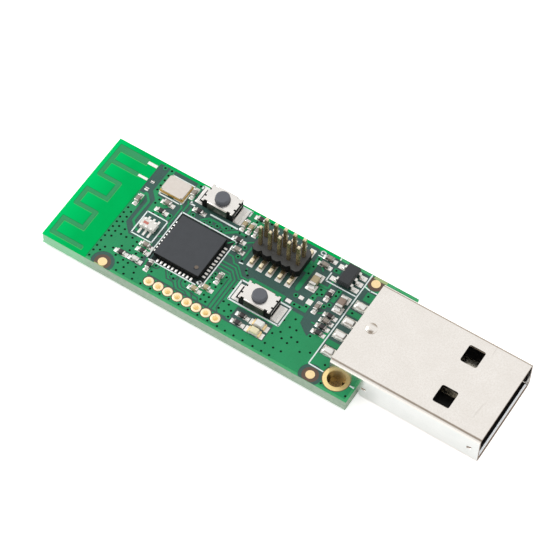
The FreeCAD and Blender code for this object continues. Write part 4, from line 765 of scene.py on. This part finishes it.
def board():
    finish_node("circuit_board", "edge")
    artwork("top_artwork", top_shapes(),
            ["pour", "gap", "clear", "strip", "via", "ring", "tan", "glow", "dusk", "dark"])
    inset = 0.02
    under = [("pour", rectangle(ZONE, STRIP, BOARD_LENGTH - STRIP, BOARD_WIDTH - STRIP)),
             ("clear", rectangle(inset, inset, ZONE, BOARD_WIDTH - inset)),
             ("strip", rectangle(ZONE, inset, BOARD_LENGTH - inset, STRIP)),
             ("strip", rectangle(ZONE, BOARD_WIDTH - STRIP, BOARD_LENGTH - inset,
                                 BOARD_WIDTH - inset)),
             ("strip", rectangle(BOARD_LENGTH - STRIP, STRIP, BOARD_LENGTH - inset,
                                 BOARD_WIDTH - STRIP))]
    for points in GAP_LINES[:9]:
        under += [("gap", piece) for piece in stroke(points, GAP)]
    under += [("via", disc(x, y, 0.15, 10)) for x, y in VIAS + RINGED_VIAS]
    for holes, ring, bore in ((WIRE_HOLES, WIRE_RING, WIRE_BORE), (LEG_HOLES, LEG_RING, LEG_BORE)):
        for x, y in holes:
            under.append(("ring", disc(x, y, ring + 0.08, 32)))
            under.append(("gold", disc(x, y, ring, 32)))
            under.append(("bare", disc(x, y, bore + 0.02, 32)))
    artwork("underside_artwork", under, ["pour", "gap", "clear", "strip", "via", "ring", "gold"],
            -1)


def markings():
    """White ink lines round the packages, printed over the mask."""
    bm = bmesh.new()
    low, high = 0.012, 0.056
    for width, points in INK_LINES:
        for piece in stroke(points, width):
            bottom = [bm.verts.new(at(x, y, low) / MM) for x, y in piece]
            top = [bm.verts.new(at(x, y, high) / MM) for x, y in piece]
            bm.faces.new(top)
            bm.faces.new(bottom[::-1])
            for k in range(len(piece)):
                after = (k + 1) % len(piece)
                bm.faces.new((bottom[k], bottom[after], top[after], top[k]))
    new_piece("marking_lines", "ink", build_mesh("marking_lines", bm))


board()
markings()

# Plated and printed metal of the board

finish_node("antenna_trace", "trace")
finish_node("fiducial_marks", "gold")
# Painted light: the bores' steep faces take the glowing plated finish
steep(rounded("io_hole_linings", ["hole_gold", "plated"], 0.02))
finish_node("shell_hole_linings", "barrel")


CHIP_SHADE = 0.1


def lands():
    """Tinned lands with soft edges; those behind the chip stop short of its outline.

    Next to the chip, in the shade of its body, they turn dark.
    """
    bm = solid_of("solder_lands")
    chip_low, chip_high = box_mm(*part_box("radio_chip_body"))
    for vert in bm.verts:
        place = box_mm(vert.co * MM, vert.co * MM)[0]
        if chip_low.x < place.x < chip_high.x and chip_high.y < place.y < chip_high.y + 0.6:
            vert.co.y -= 0.16
        if chip_low.y < place.y < chip_high.y and chip_low.x - 0.6 < place.x < chip_low.x:
            vert.co.x += 0.08
    bmesh.ops.bevel(bm, geom=bm.edges[:], offset=0.018, segments=1, profile=0.5, affect="EDGES",
                    clamp_overlap=True)
    reach = CHIP_SHADE
    for point, way in ((at(chip_low.x - reach, 0), (1, 0, 0)), (at(chip_high.x + reach, 0), (1, 0, 0)),
                       (at(0, chip_low.y - reach), (0, 1, 0)), (at(0, chip_high.y + reach), (0, 1, 0))):
        bmesh.ops.bisect_plane(bm, geom=bm.verts[:] + bm.edges[:] + bm.faces[:], dist=1e-5,
                               plane_co=point / MM, plane_no=way)
    for face in bm.faces:
        place = box_mm(face.calc_center_median() * MM, face.calc_center_median() * MM)[0]
        if (chip_low.x - reach < place.x < chip_high.x + reach
                and chip_low.y - reach < place.y < chip_high.y + reach):
            face.material_index = 1
    piece = new_piece("solder_lands_dressed", ["tin", "pitch"],
                      build_mesh("solder_lands", bm))
    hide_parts("solder_lands")


lands()


# Plug


WINDOW_SHIFT = 0.5
WINDOW_CORNER = 0.26
MOUTH_FLOOR = 0.36
MOUTH_EDGE = 0.12
LIP_DROP = 0.09
DIMPLE_GROWTH = 0.9
BOSS_TOP = 0.86


def shell():
    """The steel sleeve with round window corners. Its inner floor has painted light near the mouth and
    painted shade further in; painted shade darkens the mouth's edges and the side dimples, and a painted
    reflection cools the outer sides.
    """
    bm = solid_of("plug_shell")
    low, high = box_mm(*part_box("plug_shell"))
    middle = (low.y + high.y) / 2
    corners = []
    for edge in bm.edges:
        ends = [box_mm(vert.co * MM, vert.co * MM)[0] for vert in edge.verts]
        upright = (ends[0] - ends[1]).xy.length < 0.01
        near_end = high.x - 8 < ends[0].x < high.x - 4
        if upright and near_end and 1 < abs(ends[0].y - middle) < 4:
            corners.append(edge)
    boss = [vert for vert in bm.verts if box_mm(vert.co * MM, vert.co * MM)[0].z > high.z - 0.01]
    centre = sum((vert.co for vert in boss), Vector()) / len(boss)
    for vert in boss:
        vert.co = centre + (vert.co - centre) * BOSS_TOP
    for vert in {vert for edge in corners for vert in edge.verts}:
        place = box_mm(vert.co * MM, vert.co * MM)[0]
        vert.co.y += WINDOW_SHIFT if place.y > middle else -WINDOW_SHIFT
    bmesh.ops.bevel(bm, geom=corners, offset=WINDOW_CORNER, offset_type="OFFSET", segments=4,
                    profile=0.5, affect="EDGES")
    sharp = [edge for edge in bm.edges
             if len(edge.link_faces) == 2 and edge.calc_face_angle(0) > math.radians(32)]
    bmesh.ops.bevel(bm, geom=sharp, offset=0.035, segments=2, profile=0.5, affect="EDGES",
                    clamp_overlap=True)
    level = None
    for reach in (MOUTH_FLOOR, MOUTH_EDGE):
        bm.normal_update()
        floor = [face for face in bm.faces if face.normal.z > 0.95
                 and box_mm(face.calc_center_median() * MM, face.calc_center_median() * MM)[0].z < 0]
        level = level or floor[0].calc_center_median().z
        edges = dict.fromkeys(edge for face in floor for edge in face.edges)
        verts = dict.fromkeys(vert for face in floor for vert in face.verts)
        bmesh.ops.bisect_plane(bm, geom=[*verts, *edges, *floor], dist=1e-5,
                               plane_co=at(high.x - reach, 0) / MM, plane_no=(1, 0, 0))
    bm.normal_update()
    for vert in bm.verts:
        place = box_mm(vert.co * MM, vert.co * MM)[0]
        if place.x > high.x - 0.06 and level - 0.06 < vert.co.z < level + 0.01:
            vert.co.z -= LIP_DROP
    bm.normal_update()
    # Materials: 1 is painted light on the inner floor near the mouth, 2 painted shade further in, 3
    # painted shade on the mouth's edges and the dimples, 4 a painted reflection on the outer sides
    for face in bm.faces:
        place = box_mm(face.calc_center_median() * MM, face.calc_center_median() * MM)[0]
        depth = min(place.y - low.y, high.y - place.y)
        if face.normal.z > 0.8 and place.z < 0 and place.x > BOARD_LENGTH:
            lip = place.x > high.x - MOUTH_EDGE
            face.material_index = 3 if lip else 1 if place.x > high.x - MOUTH_FLOOR else 2
        elif face.normal.x > 0.6 and place.x > high.x - 0.1:
            face.material_index = 3
        elif depth < 0.25 and abs(face.normal.y) > 0.3 and abs(place.z - 1) < 1.8:
            inward = face.normal.y > 0 if place.y < middle else face.normal.y < 0
            face.material_index = 0 if inward else 3 if depth > 0.04 else 4
    hollows = [box_mm(face.calc_center_median() * MM, face.calc_center_median() * MM)[0]
               for face in bm.faces if face.material_index == 3 and abs(face.normal.y) > 0.8]
    for vert in bm.verts:
        place = box_mm(vert.co * MM, vert.co * MM)[0]
        for hollow in hollows:
            if (place - hollow).length < 0.4 and abs(place.y - hollow.y) < 0.2:
                vert.co.z += (place.z - hollow.z) * DIMPLE_GROWTH
                break
    piece = new_piece("plug_shell_dressed", ["shell", "inside", "deep", "cut", "flank"],
                      build_mesh("plug_shell", bm, 40))
    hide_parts("plug_shell")


def plug():
    shell()
    finish_node("plug_insulator", "tongue")
    for place in range(1, 5):
        rounded("plug_contact_%d" % place, "contact", 0.02)
    rounded("leg_solder", "leg", 0.05)


def plug_joints():
    """Creased mounds of solder that cover the lands of the plug's four tails."""
    low, high = box_mm(*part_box("plug_solder_joints"))
    rise = high.z - low.z + 0.1
    bm = bmesh.new()
    for number in range(4):
        tail_low, tail_high = box_mm(*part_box("plug_contact_%d" % (number + 1)))
        centre = (tail_low.y + tail_high.y) / 2
        turn = random.uniform(-0.5, 0.5)

        def spot(u, v, centre=centre, turn=turn, number=number):
            across = 2 * v - 1
            along = 2 * u - 1
            x = low.x - 0.03 + (high.x - low.x + 0.06) * u
            y = centre + JOINT_HALF * across
            hem = noise.noise(Vector((x * 2.3, y * 2.3, number * 5.1))) * 0.05
            round_off = max(0, 1 - abs(across) ** 3) ** 0.55 * max(0, 1 - abs(along) ** 4) ** 0.5
            crease = noise.noise(Vector((x * 1.1, y * 1.1, number * 3.7))) * 0.2
            tilt = along * turn * 0.3
            height = low.z + rise * round_off * (0.78 + crease + tilt)
            return x + hem * abs(along), y + hem * abs(across), height

        height_field(bm, spot, 18, 16, low.z)
    piece = new_piece("plug_solder_mounds", "solder",
                      build_mesh("plug_solder_mounds", bm, 60))
    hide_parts("plug_solder_joints")


JOINT_HALF = 0.6
plug()
plug_joints()


# Packages


CHIP_MARK = (17.8, 5.45)


def printed(name, material, outline, body_high):
    """A thin printed patch on top of a package."""
    base = box_mm(body_high, body_high)[0].z
    bm = bmesh.new()
    bottom = [bm.verts.new(at(x, y, base - 0.01) / MM) for x, y in outline]
    top = [bm.verts.new(at(x, y, base + 0.012) / MM) for x, y in outline]
    bm.faces.new(top)
    bm.faces.new(bottom[::-1])
    for k in range(len(outline)):
        after = (k + 1) % len(outline)
        bm.faces.new((bottom[k], bottom[after], top[after], top[k]))
    new_piece(name, material, build_mesh(name, bm))


def packages():
    # Painted shade: the chip body's steep sides are black, darker than its top
    steep(rounded("radio_chip_body", ["epoxy", "pitch"], 0.03))
    # Painted shade: the chip's own terminals are black, standing for the dark they reflect
    finish_node("radio_chip_lands", "pitch")
    finish_node("radio_chip_heat_pad", "tin")
    rounded("crystal_base", "dark_rim", 0.04, corner=0.3)
    rounded("crystal_seal_ring", "rim", 0.03, corner=0.38)
    steep(rounded("crystal_lid", ["lid", "lid_rim"], 0.12, corner=0.4), 0.97)
    finish_node("crystal_terminals", "gold")
    rounded("balun_body", "white", 0.05)
    printed("balun_mark", "mark", rectangle(9.2, 7.3, 9.85, 7.65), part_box("balun_body")[1])
    printed("chip_mark", "dot", disc(*CHIP_MARK, 0.24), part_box("radio_chip_body")[1])
    rounded("balun_terminals", "tin", 0.03)
    rounded("regulator_body", "jet", 0.04)
    rounded("regulator_leads", "tin", 0.03)


# How far the foot's painted highlight reaches from the pin's end, in mm
FOOT_HIGHLIGHT = 0.6


def header():
    # Painted shade: the insulator's steep sides are black, darker than its top
    steep(rounded("header_insulator", ["black", "pitch"], 0.02, 1))
    low, high = box_mm(*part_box("header_insulator"))
    middle = (low.y + high.y) / 2
    for number in range(1, 11):
        node = "header_pin_%d" % number
        pin_low, pin_high = box_mm(*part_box(node))
        near = pin_low.y + pin_high.y < 2 * middle
        split = pin_low.y + FOOT_HIGHLIGHT if near else pin_high.y - FOOT_HIGHLIGHT
        pin = rounded(node, ["pin", "tip"], 0.03, cut=(at(0, split), (0, 1, 0)))
        for face in pin.data.polygons:
            place = box_mm(face.center, face.center)[0]
            foot = place.y < split if near else place.y > split
            # Painted highlight on the pin's top 0.4 mm and on its foot's upward faces
            if place.z > pin_high.z - 0.4 or foot and face.normal.z > 0.3:
                face.material_index = 1


def switch_steps():
    """Bends of the switches' terminals, which step down from the housing to the board; the black ones
    are painted shade beside the housing.
    """
    bm = bmesh.new()
    for name in ("switch_1", "switch_2"):
        housing_low, housing_high = box_mm(*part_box(name + "_base"))
        for low, high in islands(name + "_terminals"):
            outward = -1 if low.x < housing_low.x else 1
            start = housing_low.x if outward < 0 else housing_high.x
            steps = ((0.6, 0.6, 0.26),) if outward < 0 else ((0.05, 0.05, 0.9), (0.2, 0.07, 0.42))
            for reach, width, top in steps:
                outer = start + outward * reach
                inner = outer - outward * width
                left, right = sorted((outer, inner))
                box = bmesh.ops.create_cube(bm, size=1)["verts"]
                size = (right - left, (high.y - low.y) * 0.86, top - low.z)
                centre = at((left + right) / 2, (low.y + high.y) / 2, (top + low.z) / 2) / MM
                for vert in box:
                    vert.co = Vector([vert.co[k] * size[k] for k in range(3)]) + centre
                for face in {face for vert in box for face in vert.link_faces}:
                    # Painted shade: all the bends but the grey bar are black
                    face.material_index = 1 if top != 0.42 else 0
    bmesh.ops.bevel(bm, geom=bm.edges[:], offset=0.025, segments=2, profile=0.5, affect="EDGES")
    new_piece("switch_terminal_bends", ["cap", "pitch"],
              build_mesh("switch_terminal_bends", bm))


PRESS = 0.25
DOME_CLEARANCE = 0.03


def dome(name):
    """The snap dome as it lies under a pressed button, so that the button never cuts into it."""
    node = name + "_dome"
    bm = solid_of(node)
    low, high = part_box(node)
    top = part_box(name + "_button")[0].z / MM - PRESS - DOME_CLEARANCE
    squash = (top - low.z / MM) / ((high.z - low.z) / MM)
    for vert in bm.verts:
        vert.co.z = low.z / MM + (vert.co.z - low.z / MM) * squash
    piece = new_piece(node + "_dressed", "cover", build_mesh(node, bm))
    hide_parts(node)


def switches():
    switch_steps()
    for name in ("switch_1", "switch_2"):
        rounded(name + "_base", "pitch", 0.04)
        # Painted shade: the cover's steep sides are darker than its top
        steep(rounded(name + "_cover", ["cover", "cover_side"], 0.03))
        rounded(name + "_button", "slate", 0.07, 3, name + "_button")
        dome(name)
        rounded(name + "_terminals", "pad", 0.03)


def split_pads():
    """Dark lines across the solder of the two footprints left empty beside the antenna."""
    for name, x, y in (("pad_line_1", 6.7, 13.17), ("pad_line_2", 6.7, 12.94),
                       ("pad_line_3", 6.65, 11.88)):
        printed(name, "pitch", rectangle(x - 0.3, y - 0.035, x + 0.3, y + 0.035),
                at(0, 0, 0.05))


def lamps():
    for name, lens in (("led_1", "lens"), ("led_2", "amber")):
        rounded(name + "_base", "white", 0.03)
        rounded(name + "_lens", lens, 0.06, 3)
        rounded(name + "_terminals", "gold", 0.03)


TAN_CAPACITORS = ((18.95, 3.25), (20.0, 4.1), (19.05, 13.8), (19.9, 13.8))


# Where the end caps are painted darker, as painted shade from the tall parts beside them: beside the
# plug, beside the lamps and behind the header
SHADED_CAPS = ((32.9, 5.2, 35.0, 9.4), (23.2, 1.6, 26.9, 4.1), (28.9, 13.8, 31.6, 15.8))


def small_parts():
    capacitors = rounded("small_capacitors", ["grey", "tan_body"], 0.05)
    for face in capacitors.data.polygons:
        place = box_mm(face.center, face.center)[0]
        if any(math.hypot(place.x - x, place.y - y) < 0.6 for x, y in TAN_CAPACITORS):
            face.material_index = 1
    large = rounded("large_capacitors", ["tan_body", "brown_body"], 0.08)
    for face in large.data.polygons:
        if box_mm(face.center, face.center)[0].x > 32:
            face.material_index = 1
    rounded("chip_resistors", "dark_body", 0.03)
    rounded("chip_inductors", "white", 0.05)
    caps = rounded("chip_end_caps", ["cap", "shaded_cap"], 0.05)
    for face in caps.data.polygons:
        place = box_mm(face.center, face.center)[0]
        if any(x1 < place.x < x2 and y1 < place.y < y2 for x1, y1, x2, y2 in SHADED_CAPS):
            face.material_index = 1


def fillets():
    """Solder that climbs the end of each small part from its land."""
    bodies = []
    for node in ("small_capacitors", "large_capacitors", "chip_resistors", "chip_inductors"):
        bodies += islands(node)
    lands = islands("solder_lands")
    bm = bmesh.new()
    for number, (low, high) in enumerate(islands("chip_end_caps")):
        middle = (low + high) / 2
        body = min(bodies, key=lambda b: ((b[0] + b[1]) / 2 - middle).length)
        away = middle - (body[0] + body[1]) / 2
        axis = 0 if abs(away.x) > abs(away.y) else 1
        side = 1 if away[axis] > 0 else -1
        face = high[axis] if side > 0 else low[axis]
        near = [l for l in lands if l[0].x - 0.05 < middle.x < l[1].x + 0.05
                and l[0].y - 0.05 < middle.y < l[1].y + 0.05]
        if not near:
            continue
        land_low, land_high = near[0]
        toe = land_high[axis] if side > 0 else land_low[axis]
        reach = abs(toe - face) * 0.92
        other = 1 - axis
        half_top = (high[other] - low[other]) / 2 * 0.98
        half_toe = (land_high[other] - land_low[other]) / 2 * 0.96
        centre = middle[other]
        floor = land_high.z - 0.005
        climb = (high.z - floor) * random.uniform(0.4, 0.6)

        def spot(u, v, axis=axis, side=side, face=face, reach=reach, half_top=half_top,
                 half_toe=half_toe, centre=centre, floor=floor, climb=climb, number=number):
            along = face - side * 0.02 + side * (reach + 0.02) * u
            half = half_top + (half_toe - half_top) * u
            across = 2 * v - 1
            swell = noise.noise(Vector((along * 3, across * 2, number))) * 0.03
            height = climb * (1 - u) ** 1.9 * (1 - 0.25 * across ** 4) + 0.025
            height = max(0.01, height * (1 - max(0, abs(across) - 0.7) * 1.4) + swell * (1 - u))
            place = (along, centre + half * across)
            return (*(place if axis == 0 else place[::-1]), floor + height)

        height_field(bm, spot, 7, 8, floor)
    new_piece("solder_fillets", "solder", build_mesh("solder_fillets", bm, 50))


packages()
header()
switches()
split_pads()
lamps()
small_parts()
fillets()


# Floor, light and camera


def stage():
    mesh = bpy.data.meshes.new("floor")
    half = 1.5
    mesh.from_pydata([(-half, -half, 0), (half, -half, 0), (half, half, 0), (-half, half, 0)],
                     [], [(0, 1, 2, 3)])
    mesh.materials.append(MATERIALS["paper"])
    floor = bpy.data.objects.new("floor", mesh)
    bpy.context.scene.collection.objects.link(floor)


def lamp(name, place, size, power):
    data = bpy.data.lights.new(name, "AREA")
    data.size = size
    data.energy = power
    light = bpy.data.objects.new(name, data)
    bpy.context.scene.collection.objects.link(light)
    light.location = place
    light.rotation_euler = (-Vector(place)).to_track_quat("-Z", "Y").to_euler()


# Dark places of the studio that polished metal shows: above the viewer, and low behind the part
DARK_PLACES = (((0.08, -0.42, 0.9), 16, 38, (0.32, 0.27, 0.22, 1)),
               ((-0.1, 0.93, 0.15), 12, 36, (0.42, 0.36, 0.3, 1)))


def lights():
    """White surroundings with dark places for reflections, and a soft lamp on the left."""
    world = bpy.data.worlds.new("studio")
    world.use_nodes = True
    nodes, links = world.node_tree.nodes, world.node_tree.links
    direction = nodes.new("ShaderNodeTexCoord").outputs["Generated"]
    colour = None
    for place, inner, outer, dark in DARK_PLACES:
        toward = nodes.new("ShaderNodeVectorMath")
        toward.operation = "DOT_PRODUCT"
        toward.inputs[1].default_value = Vector(place).normalized()
        links.new(direction, toward.inputs[0])
        reach = nodes.new("ShaderNodeMapRange")
        reach.interpolation_type = "SMOOTHSTEP"
        reach.inputs["From Min"].default_value = math.cos(math.radians(outer))
        reach.inputs["From Max"].default_value = math.cos(math.radians(inner))
        links.new(toward.outputs["Value"], reach.inputs["Value"])
        mix = nodes.new("ShaderNodeMix")
        mix.data_type = "RGBA"
        mix.inputs["A"].default_value = (1, 1, 1, 1)
        mix.inputs["B"].default_value = dark
        if colour:
            links.new(colour, mix.inputs["A"])
        links.new(reach.outputs["Result"], mix.inputs["Factor"])
        colour = mix.outputs["Result"]
    background = nodes["Background"]
    links.new(colour, background.inputs["Color"])
    background.inputs["Strength"].default_value = 1.0
    bpy.context.scene.world = world
    lamp("key", (-0.5, 0.02, 0.5), 0.3, 1.6)


FOCAL_PIXELS = 2541.9
PICTURE = 560
SENSOR = 36.0
EYE = (104.08, -125.9, 245.55)
TURN = (32.44, -1.552, 32.233)


def camera():
    data = bpy.data.cameras.new("camera")
    data.sensor_width = SENSOR
    data.lens = FOCAL_PIXELS * SENSOR / PICTURE
    data.clip_start = 0.01
    data.clip_end = 10
    eye = bpy.data.objects.new("camera", data)
    bpy.context.scene.collection.objects.link(eye)
    eye.location = at(*EYE)
    eye.rotation_euler = [math.radians(angle) for angle in TURN]
    bpy.context.scene.camera = eye


stage()
lights()
camera()
bpy.context.scene.view_settings.view_transform = "Standard"
